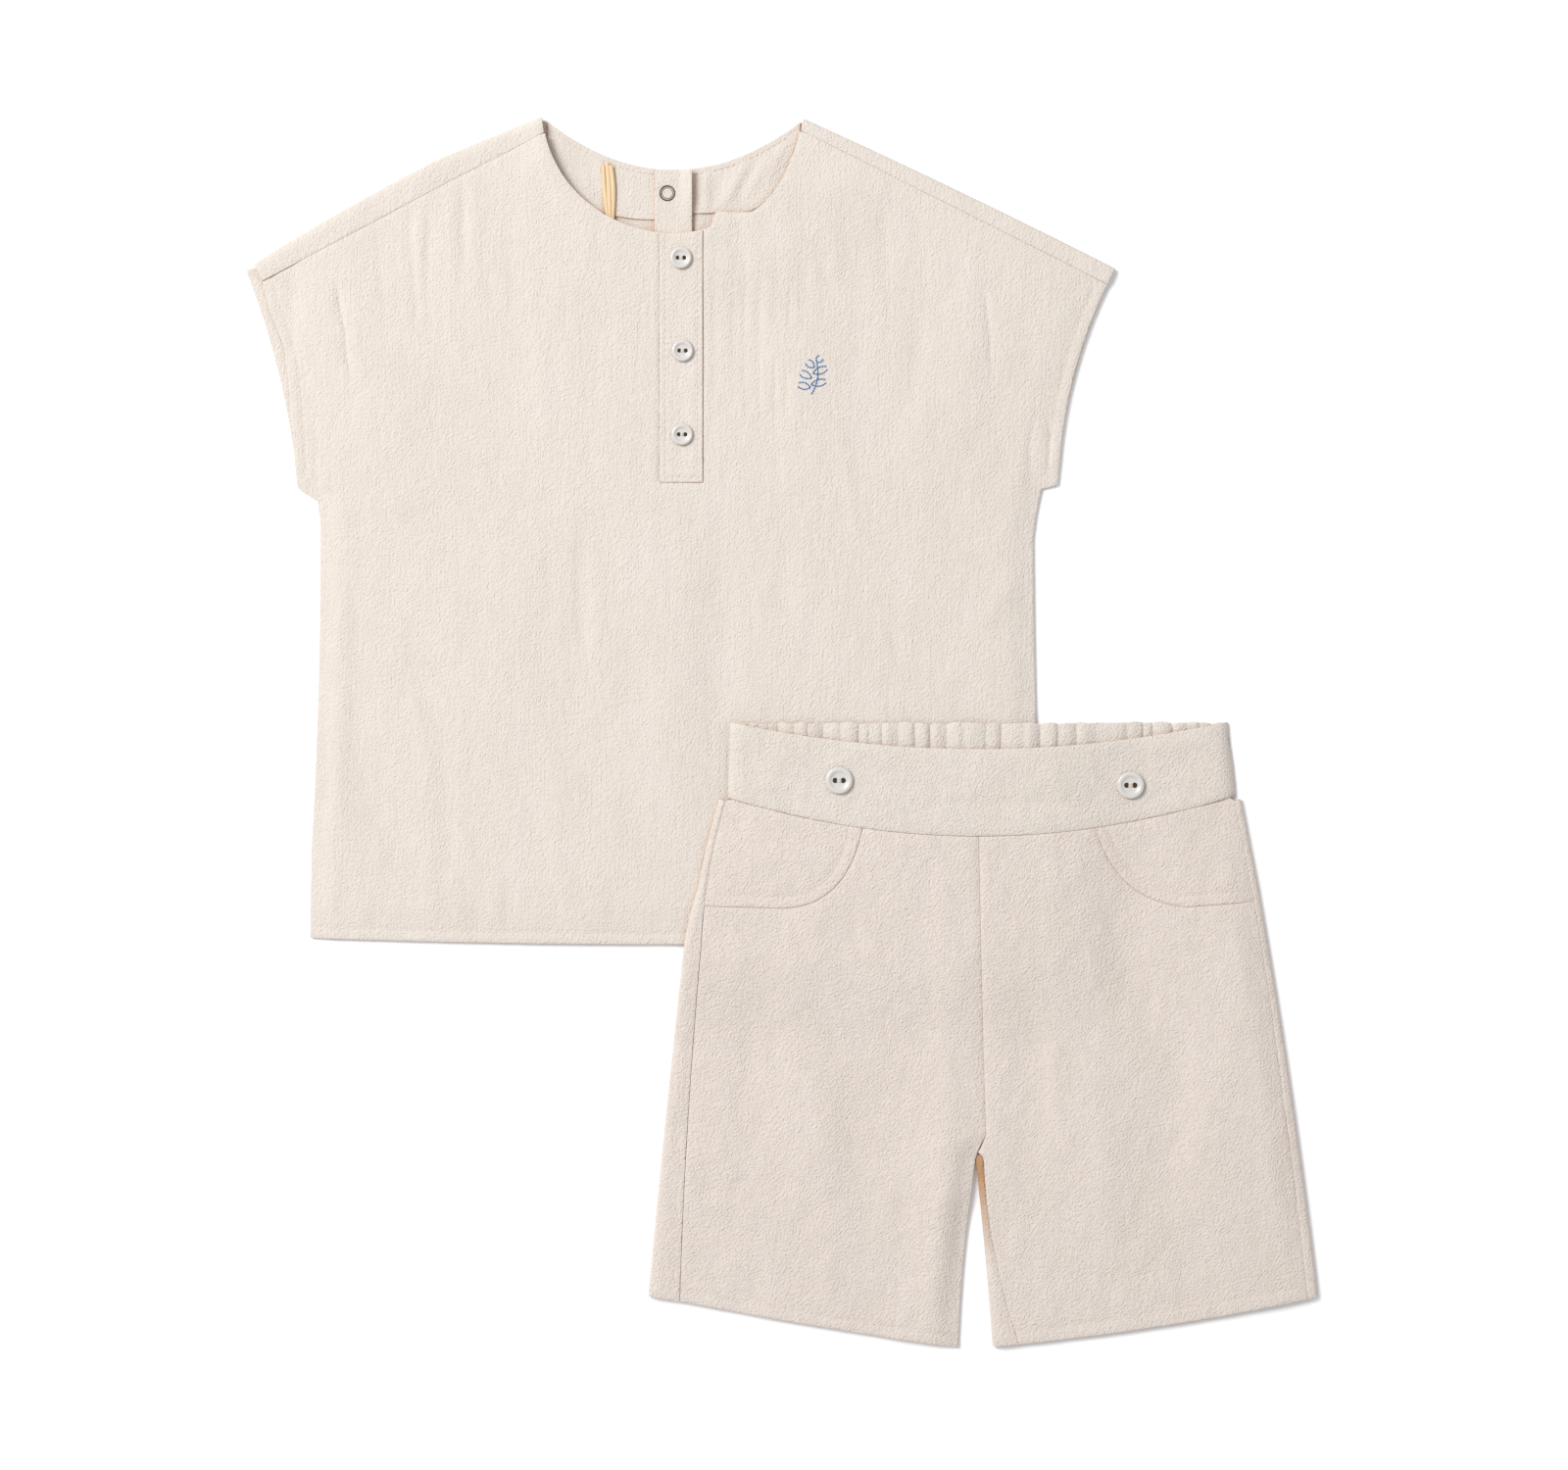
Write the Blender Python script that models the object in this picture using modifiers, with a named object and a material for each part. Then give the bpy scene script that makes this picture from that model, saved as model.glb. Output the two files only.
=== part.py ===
"""A child's two-piece set laid flat: a cap-sleeved top, and shorts that lie on its lower corner.

Every panel is one layer of cloth. A panel is outlined by named points and bowed runs, filled with an even
triangle lattice, lifted by a height rule and given its wall by Solidify. Lengths are millimetres, turned to
metres where a mesh is made. +Y runs from hem to neck, +Z is up from the surface that the set lies on.
"""

import math

import bmesh
import bpy
import numpy as np
from mathutils import Vector
from mathutils.bvhtree import BVHTree
from mathutils.geometry import delaunay_2d_cdt

MM = 0.001

CLOTH = 1.0
BAND_CLOTH = 1.5
SEAM_GAP = 0.3
FOLD_RADIUS = 1.3
FOLD_STEPS = 4
CURVE_STEP = 8.0
STRAIGHT_STEP = 16.0
TOP_LATTICE = 18.0
SHORTS_LATTICE = 14.0
SMALL_LATTICE = 10.0

# Where the top's hem middle and the shorts' crotch lie on the surface
TOP_AT = (-48.5, -98.45)
SHORTS_AT = (93.2, -198.75)

# The top's edge as seen, anticlockwise: name, x, y, outward bulge of the run to the next point
TOP_EDGE = (
    ("hem left", -172.6, 2.4, 3.0),
    ("hem right", 171.0, 2.4, -0.8),
    ("side right", 166.0, 195.0, -4.8),
    ("sleeve foot right", 178.2, 215.3, -5.3),
    ("sleeve tip right", 204.9, 316.0, 0.8),
    ("neck right", 58.9, 386.3, -24.0),
    ("neck left", -63.9, 387.0, 0.0),
    ("shoulder point left", -111.3, 367.8, 0.0),
    ("sleeve tip left", -203.3, 316.0, -3.7),
    ("sleeve foot left", -178.9, 214.0, -4.5),
    ("side left", -168.0, 198.0, -0.8),
)
# Shoulders: the back wraps over them, so its crest is the edge and its seam lies on the front
TOP_CREST_RIGHT = (("sleeve", 204.9, 316.0, 0.8), ("neck", 58.9, 386.3, 0.0))
TOP_SEAM_RIGHT = (("sleeve", 201.5, 309.2, 0.0), ("neck", 57.6, 381.3, 0.0))
TOP_CREST_LEFT = (
    ("neck", -63.9, 387.0, 0.0),
    ("shoulder point", -111.3, 367.8, 0.0),
    ("sleeve", -199.2, 318.3, 0.0),
)
TOP_SEAM_LEFT = (
    ("neck", -62.8, 379.8, 0.0),
    ("shoulder point", -107.6, 357.2, 0.0),
    ("sleeve", -195.2, 310.6, 0.0),
)
# The front's own sleeve edges, which stop short of the back's on the left
TOP_FRONT_SLEEVE_RIGHT = (("foot", 178.2, 215.3, -4.9), ("seam", 201.1, 308.8, 0.0))
TOP_FRONT_SLEEVE_LEFT = (
    ("seam", -194.9, 310.0, -0.8),
    ("bend", -187.2, 290.7, -0.6),
    ("join", -182.6, 240.0, 0.0),
    ("foot", -178.9, 214.0, 0.0),
)

# Front neckline: half an ellipse
NECK_CENTRE = (-2.8, 386.4)
NECK_HALF_WIDTH = 60.3
NECK_DEPTH = 53.4

# Inside the back neck: two facings, the opening strip with its snap, the hanging loop
FACING_ENDS = {"left": (0.955, 0.53), "right": (0.05, 0.458)}
FACING_DEPTHS = {"left": (25.0, 26.5), "right": (26.0, 23.5)}
STRIP_LEFT = -11.0
STRIP_RIGHT = 6.6
STRIP_LENGTH = 70.0
STRIP_DROP = (316.0, 330.0)
SNAP_AT = (-5.1, 351.9)
SNAP_RADIUS = 3.5
SNAP_WIRE = 0.5
LOOP_TOP = (-31.9, 366.0)
LOOP_FOOT = (-31.3, 338.8)
LOOP_WIDTH = 5.4
LOOP_SLOT = 0.9

PLACKET_LEFT = -8.7
PLACKET_RIGHT = 11.5
PLACKET_FOOT = 216.2
TOP_BUTTONS = ((1.4, 321.2), (2.1, 277.8), (1.9, 238.5))
TOP_BUTTON_RADIUS = 5.1
DRILL_DEPTH = 8.0
SHORTS_BUTTONS = {"left": (-66.2, 176.6), "right": (70.4, 174.3)}
SHORTS_BUTTON_RADIUS = 6.4

# Heights of the front's underside over the back's underside
SEAM_HEIGHT = CLOTH + SEAM_GAP
FRONT_HEIGHT = SEAM_HEIGHT + CLOTH + SEAM_GAP
SIDE_RISE = 13.0
NECK_LIFT = CLOTH + SEAM_GAP

# Soft folds of the fronts: x, y, half length, half width, lean of the fold from upright in degrees, height
TOP_FOLDS = (
    (-135.0, 250.0, 75.0, 30.0, -10.0, 1.1),
    (-78.0, 130.0, 110.0, 34.0, 3.0, 0.9),
    (60.0, 265.0, 85.0, 30.0, -6.0, 1.0),
    (128.0, 255.0, 70.0, 28.0, 18.0, 1.0),
)
SHORTS_FOLDS = (
    (-75.0, 10.0, 70.0, 26.0, 8.0, 1.3),
    (-28.0, -20.0, 55.0, 24.0, 3.0, 1.0),
    (52.0, 20.0, 75.0, 28.0, -6.0, 1.2),
    (106.0, -5.0, 60.0, 26.0, -9.0, 1.0),
)

# Shorts sides: crest seen from above, and the seam on the front that the back wraps to
SHORTS_CREST_LEFT = (("waist", -122.4, 167.8, 0.6), ("hip", -132.9, 124.7, 2.0), ("hem", -155.0, -65.6, 0.0))
SHORTS_SEAM_LEFT = (("waist", -119.4, 167.0, 0.8), ("hip", -128.6, 124.7, 1.6), ("hem", -141.1, -68.0, 0.0))
SHORTS_CREST_RIGHT = (("hem", 158.6, -65.4, 1.4), ("hip", 130.4, 127.0, 0.0), ("waist", 122.5, 167.8, 0.0))
SHORTS_SEAM_RIGHT = (("hem", 153.7, -66.9, 1.4), ("hip", 127.8, 126.6, 0.0), ("waist", 119.9, 167.0, 0.0))
SHORTS_CREST_INNER = (("crotch", -0.4, -14.0, 1.2), ("hem", 6.0, -89.2, 0.0))
SHORTS_SEAM_INNER = (("crotch", 3.1, -14.6, 1.3), ("hem", 18.2, -88.1, 0.0))
SHORTS_CENTRE_SEAM = (("waist", -0.9, 150.4, 0.3), ("rise", 2.8, 10.0, 0.4), ("crotch", -2.3, -1.8, 0.0))
SHORTS_INNER_LEFT = (("hem", -9.6, -89.8, -0.4), ("thigh", -3.9, -25.3, 0.0), ("crotch", -2.3, -1.8, 0.0))
SHORTS_RISE_RIGHT = (("rise", 2.8, 10.0, 0.0), ("crotch", 2.0, -1.4, 0.0), ("fold", 1.4, -7.0, 0.0))
HEM_BULGE_LEFT = 0.8
HEM_BULGE_RIGHT = 2.8

# Waist: the seam and the front band's top both dip in the middle
WAIST_MIDDLE = -0.9
WAIST_HALF = 121.0
WAIST_END_Y = 169.5
WAIST_DIP = 19.1
BAND_TOP_Y = 204.9
BAND_TOP_DIP = 13.7
BAND_LEFT = (-117.9, -116.8)
BAND_RIGHT = (119.6, 116.0)
BAND_LIFT = 4.0
BAND_EDGE_LIFT = 1.5
BAND_ROLL = 9.0
BAND_ROLL_LINES = (0.18, 0.5, 1.0)
WAIST_LIFT = BAND_LIFT - FRONT_HEIGHT
WAIST_LIFT_RUN = 60.0
WAIST_LIFT_SIDE = 30.0
BACK_BAND_TOP_Y = 203.9
BACK_BAND_ENDS = (-115.6, 115.0)

# Creases between the gathers of the elastic back band, left to right
GATHER_CREASES = (
    -108.1, -103.5, -98.9, -94.8, -88.0, -81.4, -73.1, -64.9, -57.5, -52.9, -46.0, -37.7, -30.8, -24.2,
    -15.6, -7.1, 2.3, 9.1, 17.5, 28.5, 35.4, 44.6, 57.0, 68.5, 76.4, 81.4, 90.6, 96.6, 102.6, 109.0,
)
GATHER_HEIGHT = 2.2
GATHER_FULL_WIDTH = 8.0
GATHER_FOOT = 0.7
GATHER_ROWS = 3
SAMPLES_PER_GATHER = 4

# Pocket edges, each a quadratic curve from the waist to the start of a nearly level run to the side
POCKET_CURVES = {
    "left": ((-55.0, 156.6), (-62.0, 118.0), (-92.0, 116.8), (-146.0, 118.3)),
    "right": ((53.6, 156.2), (63.0, 120.0), (97.0, 117.3), (146.0, 121.2)),
}

# Where the shorts lie over the top's side and hem, and how fast they come down from it
STEP_HEIGHT = 4.0
STEP_SIDE_X = TOP_AT[0] + 170.0 - SHORTS_AT[0]
STEP_HEM_Y = TOP_AT[1] - 0.6 - SHORTS_AT[1]
STEP_MARGIN = 4.0
STEP_RUN = 46.0

FABRIC = (0.84, 0.76, 0.68)
FABRIC_ROUGHNESS = 0.9
LOOP_COLOUR = (0.79, 0.64, 0.45)
BUTTON_COLOUR = (0.72, 0.70, 0.68)
METAL_COLOUR = (0.55, 0.55, 0.56)


def clear_scene():
    for old in list(bpy.data.objects):
        bpy.data.objects.remove(old, do_unlink=True)


def new_collection(name, helpers=False):
    collection = bpy.data.collections.new(name)
    bpy.context.scene.collection.children.link(collection)
    collection.hide_render = helpers
    return collection


def plain_material(name, colour, roughness, metallic=0.0):
    material = bpy.data.materials.new(name)
    material.use_nodes = True
    shader = material.node_tree.nodes["Principled BSDF"]
    shader.inputs["Base Color"].default_value = (*colour, 1.0)
    shader.inputs["Roughness"].default_value = roughness
    shader.inputs["Metallic"].default_value = metallic
    material.diffuse_color = (*colour, 1.0)
    return material


def smooth(t):
    t = np.clip(t, 0.0, 1.0)
    return t * t * (3.0 - 2.0 * t)


def bowed(start, end, bulge, count):
    """count points from start towards end, on a parabola that stands bulge to the right of the way."""
    start = np.array(start, float)
    run = np.array(end, float) - start
    t = np.arange(count)[:, None] / count
    right = np.array([run[1], -run[0]]) / np.hypot(*run)
    return start + run * t + right * (4.0 * bulge * t * (1.0 - t))


def run_counts(table):
    counts = []
    for (_, x, y, bulge), (_, next_x, next_y, _) in zip(table, table[1:]):
        step = CURVE_STEP if abs(bulge) > 1.5 else STRAIGHT_STEP
        counts.append(max(1, round(math.hypot(next_x - x, next_y - y) / step)))
    return counts


def line(table, counts=None):
    """The points of a table of named points and bulges, both ends included."""
    counts = counts or run_counts(table)
    runs = [
        bowed(a[1:3], b[1:3], a[3], count) for a, b, count in zip(table, table[1:], counts)
    ]
    return np.concatenate([*runs, [table[-1][1:3]]])


def part_of_edge(first, last):
    """The run of the top's edge from one named point to another, anticlockwise."""
    names = [row[0] for row in TOP_EDGE]
    at = names.index(first)
    rows = [TOP_EDGE[at]]
    while rows[-1][0] != last:
        at = (at + 1) % len(TOP_EDGE)
        rows.append(TOP_EDGE[at])
    return line(rows)


def beside(points, distance):
    """The line moved to the left of its way, as the second edge of a seam."""
    ahead = np.gradient(points, axis=0)
    ahead /= np.hypot(ahead[:, 0], ahead[:, 1])[:, None]
    return points + distance * np.stack([-ahead[:, 1], ahead[:, 0]], axis=1)


def ring(*lines):
    """One closed outline from lines that follow each other, with points that coincide taken once."""
    points = np.concatenate(lines)
    apart = np.hypot(*(points - np.roll(points, 1, axis=0)).T) > 0.2
    return points[apart]


def distance_to(line_points, points):
    """How far each point is from a line, by its nearest segment."""
    start = line_points[:-1][None]
    run = line_points[1:][None] - start
    offset = points[:, None] - start
    t = np.clip((offset * run).sum(2) / (run * run).sum(2), 0.0, 1.0)
    return np.sqrt(((offset - run * t[..., None]) ** 2).sum(2)).min(1)


def is_inside(outline, points):
    x, y = points[:, 0, None], points[:, 1, None]
    x0, y0 = outline.T
    x1, y1 = np.roll(outline, -1, axis=0).T
    crosses = (y0 > y) != (y1 > y)
    level = np.where(y1 == y0, 1.0, y1 - y0)
    return (crosses & (x < x0 + (y - y0) * (x1 - x0) / level)).sum(1) % 2 == 1


def lattice_in(outline, cuts, step):
    """Even triangle lattice points inside an outline, kept off its edge and off any cut line."""
    low = np.floor(outline.min(0) / step) * step
    high = outline.max(0) + step
    row_height = step * math.sqrt(3.0) / 2.0
    rows = np.arange(int((high[1] - low[1]) / row_height) + 1)
    columns = np.arange(int((high[0] - low[0]) / step) + 1)
    row, column = np.meshgrid(rows, columns, indexing="ij")
    x = low[0] + (column + 0.5 * (row % 2)) * step
    y = low[1] + row * row_height
    points = np.stack([x.ravel(), y.ravel()], axis=1)
    points = points[is_inside(outline, points)]
    closed = np.vstack([outline, outline[:1]])
    for boundary in (closed, *cuts):
        points = points[distance_to(boundary, points) > 0.5 * step]
    return points


def filled(outline, step, cuts=()):
    """A flat mesh of an outline, with each cut line as edges of its own: points and triangles."""
    inner = lattice_in(outline, cuts, step)
    points = [outline]
    edges = []
    start = len(outline)
    for cut in cuts:
        points.append(cut)
        edges += [(start + i, start + i + 1) for i in range(len(cut) - 1)]
        start += len(cut)
    points.append(inner)
    flat = [Vector(p) for p in np.concatenate(points)]
    made = delaunay_2d_cdt(flat, edges, [list(range(len(outline)))], 1, 1e-5)
    return np.array([tuple(p) for p in made[0]]), [tuple(f) for f in made[2]]


def lifted(flat, height):
    return np.column_stack([flat, height(flat)])


def level(flat, height):
    return np.column_stack([flat, np.full(len(flat), height)])


def fold_base(crest, seam):
    """Where a panel stops being flat, so that its turn ends at the crest."""
    inward = seam - crest
    inward /= np.hypot(inward[:, 0], inward[:, 1])[:, None]
    return crest + inward * (FOLD_RADIUS + CLOTH / 2.0)


def grid_faces(rows, count):
    """Quads between rows of count points each."""
    return [
        (r * count + i, r * count + i + 1, (r + 1) * count + i + 1, (r + 1) * count + i)
        for r in range(rows - 1)
        for i in range(count - 1)
    ]


def folded_strip(crest, seam, height):
    """The stretch of a panel that turns over at its crest and lies back to the seam: points and quads."""
    base = fold_base(crest, seam)
    outward = crest - base
    outward /= np.hypot(outward[:, 0], outward[:, 1])[:, None]
    low = height(base)
    rows = []
    for step in range(FOLD_STEPS + 1):
        turn = math.pi * step / FOLD_STEPS
        rise = low + FOLD_RADIUS * (1.0 - math.cos(turn))
        rows.append(np.column_stack([base + outward * FOLD_RADIUS * math.sin(turn), rise]))
    rows.append(np.column_stack([seam, low + 2.0 * FOLD_RADIUS]))
    return np.concatenate(rows), grid_faces(len(rows), len(crest))


def joined(*pieces):
    points = []
    faces = []
    for piece_points, piece_faces in pieces:
        start = sum(len(p) for p in points)
        points.append(piece_points)
        faces += [tuple(start + i for i in face) for face in piece_faces]
    return np.concatenate(points), faces


def patch_on(panel, outline, rise):
    """The panel's own faces inside an outline, moved out: a piece that lies on it."""
    points, faces = panel
    centres = np.array([points[list(f), :2].mean(0) for f in faces])
    kept = [faces[i] for i in np.flatnonzero(is_inside(outline, centres))]
    used = sorted({i for face in kept for i in face})
    index = {old: new for new, old in enumerate(used)}
    moved = points[used] + np.array([0.0, 0.0, rise])
    return moved, [tuple(index[i] for i in face) for face in kept]


def put(name, mesh, material, parent):
    piece = bpy.data.objects.new(name, mesh)
    mesh.materials.append(material)
    piece.parent = parent
    PARTS.objects.link(piece)
    return piece


def cloth(name, surface, material, parent, wall=CLOTH):
    """A panel's middle surface made into a node, with its wall half to each side."""
    points, faces = surface
    shape = bmesh.new()
    corners = [shape.verts.new(Vector(p) * MM) for p in points]
    for face in faces:
        shape.faces.new([corners[i] for i in face])
    bmesh.ops.remove_doubles(shape, verts=shape.verts[:], dist=1e-6)
    loose = [v for v in shape.verts if not v.link_faces]
    bmesh.ops.delete(shape, geom=loose, context="VERTS")
    bmesh.ops.recalc_face_normals(shape, faces=shape.faces[:])
    mesh = bpy.data.meshes.new(name)
    shape.to_mesh(mesh)
    shape.free()
    mesh.shade_smooth()
    piece = put(name, mesh, material, parent)
    solidify = piece.modifiers.new("Wall", "SOLIDIFY")
    solidify.thickness = wall * MM
    solidify.offset = 0.0
    solidify.use_even_offset = True
    return piece


def seat_height(surface, wall, x, y, radius):
    """The highest place of a panel's upper side under a round piece."""
    points, faces = surface
    tree = BVHTree.FromPolygons([Vector(p) for p in points], faces)
    heights = []
    for turn in range(9):
        reach = radius if turn else 0.0
        angle = math.pi * turn / 4.0
        above = Vector((x + reach * math.cos(angle), y + reach * math.sin(angle), 100.0))
        heights.append(tree.ray_cast(above, Vector((0.0, 0.0, -1.0)))[0].z)
    return max(heights) + wall / 2.0


def top_back_height(flat):
    return np.full(len(flat), CLOTH / 2.0)


def folds_at(flat, table):
    """Height of the soft folds: each is one smooth ridge, full in its middle and gone at its ends."""
    height = np.zeros(len(flat))
    for x, y, half_length, half_width, lean, rise in table:
        angle = math.radians(lean)
        along = (flat[:, 1] - y) * math.cos(angle) + (flat[:, 0] - x) * math.sin(angle)
        across = (flat[:, 0] - x) * math.cos(angle) - (flat[:, 1] - y) * math.sin(angle)
        height += rise * smooth(1.0 - abs(along) / half_length) * smooth(1.0 - abs(across) / half_width)
    return height


def top_front_height(flat):
    """Middle of the front's wall: low at the side seams, level inside, lifted round the front neckline."""
    sides = [part_of_edge("hem right", "sleeve foot right"), part_of_edge("sleeve foot left", "hem left")]
    from_side = np.minimum(distance_to(sides[0], flat), distance_to(sides[1], flat))
    across = (flat[:, 0] - NECK_CENTRE[0]) / NECK_HALF_WIDTH
    down = (flat[:, 1] - NECK_CENTRE[1]) / NECK_DEPTH
    from_neck = (np.hypot(across, down) - 1.0) * NECK_DEPTH
    lift = (1.0 - smooth((from_neck - 16.0) / 34.0)) * (1.0 - smooth((flat[:, 1] - 350.0) / 22.0))
    height = SEAM_HEIGHT + (FRONT_HEIGHT - SEAM_HEIGHT) * smooth(from_side / SIDE_RISE)
    return height + NECK_LIFT * lift + folds_at(flat, TOP_FOLDS) + CLOTH / 2.0


def make_top_back():
    counts_right = run_counts(TOP_CREST_RIGHT)
    counts_left = run_counts(TOP_CREST_LEFT)
    folds = (
        (line(TOP_CREST_RIGHT, counts_right), line(TOP_SEAM_RIGHT, counts_right)),
        (line(TOP_CREST_LEFT, counts_left), line(TOP_SEAM_LEFT, counts_left)),
    )
    neckline = part_of_edge("neck right", "neck left")
    outline = ring(
        part_of_edge("hem left", "sleeve tip right")[:-1],
        fold_base(*folds[0]),
        neckline[1:-1],
        fold_base(*folds[1]),
        part_of_edge("sleeve tip left", "hem left")[:-1],
    )
    flat, faces = filled(outline, TOP_LATTICE)
    pieces = [(lifted(flat, top_back_height), faces)]
    pieces += [folded_strip(crest, seam, top_back_height) for crest, seam in folds]
    cloth("top_back", joined(*pieces), FABRIC_MATERIAL, TOP)


def front_neckline():
    """Half ellipse from just under the right shoulder seam down and up to the left one."""
    below_seam = NECK_CENTRE[1] + 1.5 * SEAM_GAP
    right = math.asin((below_seam - TOP_SEAM_RIGHT[-1][2]) / NECK_DEPTH)
    left = math.pi - math.asin((below_seam - TOP_SEAM_LEFT[0][2]) / NECK_DEPTH)
    angle = np.linspace(right, left, 24)
    x = NECK_CENTRE[0] + NECK_HALF_WIDTH * np.cos(angle)
    y = NECK_CENTRE[1] - NECK_DEPTH * np.sin(angle)
    return np.column_stack([x, y])


def make_top_front():
    seam_right = beside(line(TOP_SEAM_RIGHT, run_counts(TOP_CREST_RIGHT)), SEAM_GAP)
    seam_left = beside(line(TOP_SEAM_LEFT, run_counts(TOP_CREST_LEFT)), SEAM_GAP)
    outline = ring(
        part_of_edge("hem left", "sleeve foot right")[:-1],
        line(TOP_FRONT_SLEEVE_RIGHT)[:-1],
        seam_right[:-1],
        front_neckline(),
        seam_left[1:],
        line(TOP_FRONT_SLEEVE_LEFT)[1:-1],
        part_of_edge("sleeve foot left", "hem left")[:-1],
    )
    above_neck = NECK_CENTRE[1] - NECK_DEPTH + 3.0
    placket = np.array([
        (PLACKET_LEFT, above_neck),
        (PLACKET_LEFT, PLACKET_FOOT),
        (PLACKET_RIGHT, PLACKET_FOOT),
        (PLACKET_RIGHT, above_neck),
    ])
    sides = []
    for a, b in zip(placket, placket[1:]):
        sides.append(bowed(a, b, 0.0, max(1, round(math.dist(a, b) / STRAIGHT_STEP))))
    placket_line = np.concatenate([*sides, placket[-1:]])
    flat, faces = filled(outline, TOP_LATTICE, (placket_line,))
    front = (lifted(flat, top_front_height), faces)
    cloth("top_front", front, FABRIC_MATERIAL, TOP)
    strip = patch_on(front, placket, CLOTH + SEAM_GAP)
    cloth("top_placket", strip, FABRIC_MATERIAL, TOP)
    for number, (x, y) in enumerate(TOP_BUTTONS, 1):
        height = seat_height(strip, CLOTH, x, y, TOP_BUTTON_RADIUS)
        make_button(f"top_button_{number}", TOP_BUTTON_RADIUS, (x, y, height + SEAM_GAP), TOP)


def back_neck_point(t):
    """A point of the back neckline, from 0 at its right end to 1 at its left."""
    rows = {row[0]: row[1:] for row in TOP_EDGE}
    start_x, start_y, bulge = rows["neck right"]
    end_x, end_y, _ = rows["neck left"]
    x = start_x + (end_x - start_x) * t
    y = start_y + (end_y - start_y) * t + 4.0 * bulge * t * (1.0 - t)
    return np.array([x, y])


def make_facing(side):
    """Half of the band that finishes the back neck inside, from the shoulder to under the opening strip."""
    outer, inner = FACING_ENDS[side]
    outer_depth, inner_depth = FACING_DEPTHS[side]
    along = np.linspace(outer, inner, 8)
    depth = np.linspace(outer_depth, inner_depth, 8)
    top = np.array([back_neck_point(t) for t in along]) - np.array([0.0, 0.5])
    bottom = top - np.column_stack([np.zeros(8), depth])
    outline = np.concatenate([top, bottom[::-1]])
    if side == "right":
        outline = outline[::-1]
    flat, faces = filled(outline, SMALL_LATTICE)
    cloth(f"top_facing_{side}", (level(flat, CLOTH * 1.5 + SEAM_GAP), faces), FABRIC_MATERIAL, TOP)


def make_back_strip():
    """Strip of the back opening: over both facings, then down onto the back under the front."""
    neck = back_neck_point(0.5)[1] - 0.4
    foot = neck - STRIP_LENGTH
    rows = np.linspace(foot, neck, 9)
    high = CLOTH * 2.5 + 2.0 * SEAM_GAP
    low = CLOTH * 1.5 + SEAM_GAP
    columns = (STRIP_LEFT, (STRIP_LEFT + STRIP_RIGHT) / 2.0, STRIP_RIGHT)
    points = []
    for y in rows:
        rise = smooth((y - STRIP_DROP[0]) / (STRIP_DROP[1] - STRIP_DROP[0]))
        points += [(x, y, low + (high - low) * float(rise)) for x in columns]
    faces = grid_faces(len(rows), len(columns))
    cloth("top_back_placket", (np.array(points), faces), FABRIC_MATERIAL, TOP)
    bpy.ops.mesh.primitive_torus_add(
        major_radius=SNAP_RADIUS * MM,
        minor_radius=SNAP_WIRE * MM,
        major_segments=22,
        minor_segments=6,
    )
    made = bpy.context.object
    snap = put("top_snap_ring", made.data, METAL_MATERIAL, TOP)
    bpy.data.objects.remove(made)
    snap.location = Vector((*SNAP_AT, high + CLOTH / 2.0 + SEAM_GAP + SNAP_WIRE)) * MM
    snap.data.shade_smooth()


def make_loop():
    """Hanging loop: one narrow tape doubled back on itself, its two runs side by side."""
    half = LOOP_WIDTH / 2.0
    slot = LOOP_SLOT / 2.0
    middle = np.array([LOOP_FOOT[0], LOOP_FOOT[1] + half])
    turn = np.linspace(0.0, math.pi, 9)[:, None]
    outer = middle + half * np.hstack([np.cos(turn), -np.sin(turn)])
    turn = turn[::-2]
    inner = middle + slot * np.hstack([np.cos(turn), -np.sin(turn)])
    top_left = [(LOOP_TOP[0] - half, LOOP_TOP[1]), (LOOP_TOP[0] - slot, LOOP_TOP[1])]
    top_right = [(LOOP_TOP[0] + slot, LOOP_TOP[1]), (LOOP_TOP[0] + half, LOOP_TOP[1])]
    outline = np.array([*outer, *top_left, *inner, *top_right])[::-1]
    flat, faces = filled(outline, SMALL_LATTICE)
    tape = (level(flat, CLOTH * 2.5 + 2.0 * SEAM_GAP), faces)
    cloth("top_hanger_loop", tape, LOOP_MATERIAL, TOP)


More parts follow.
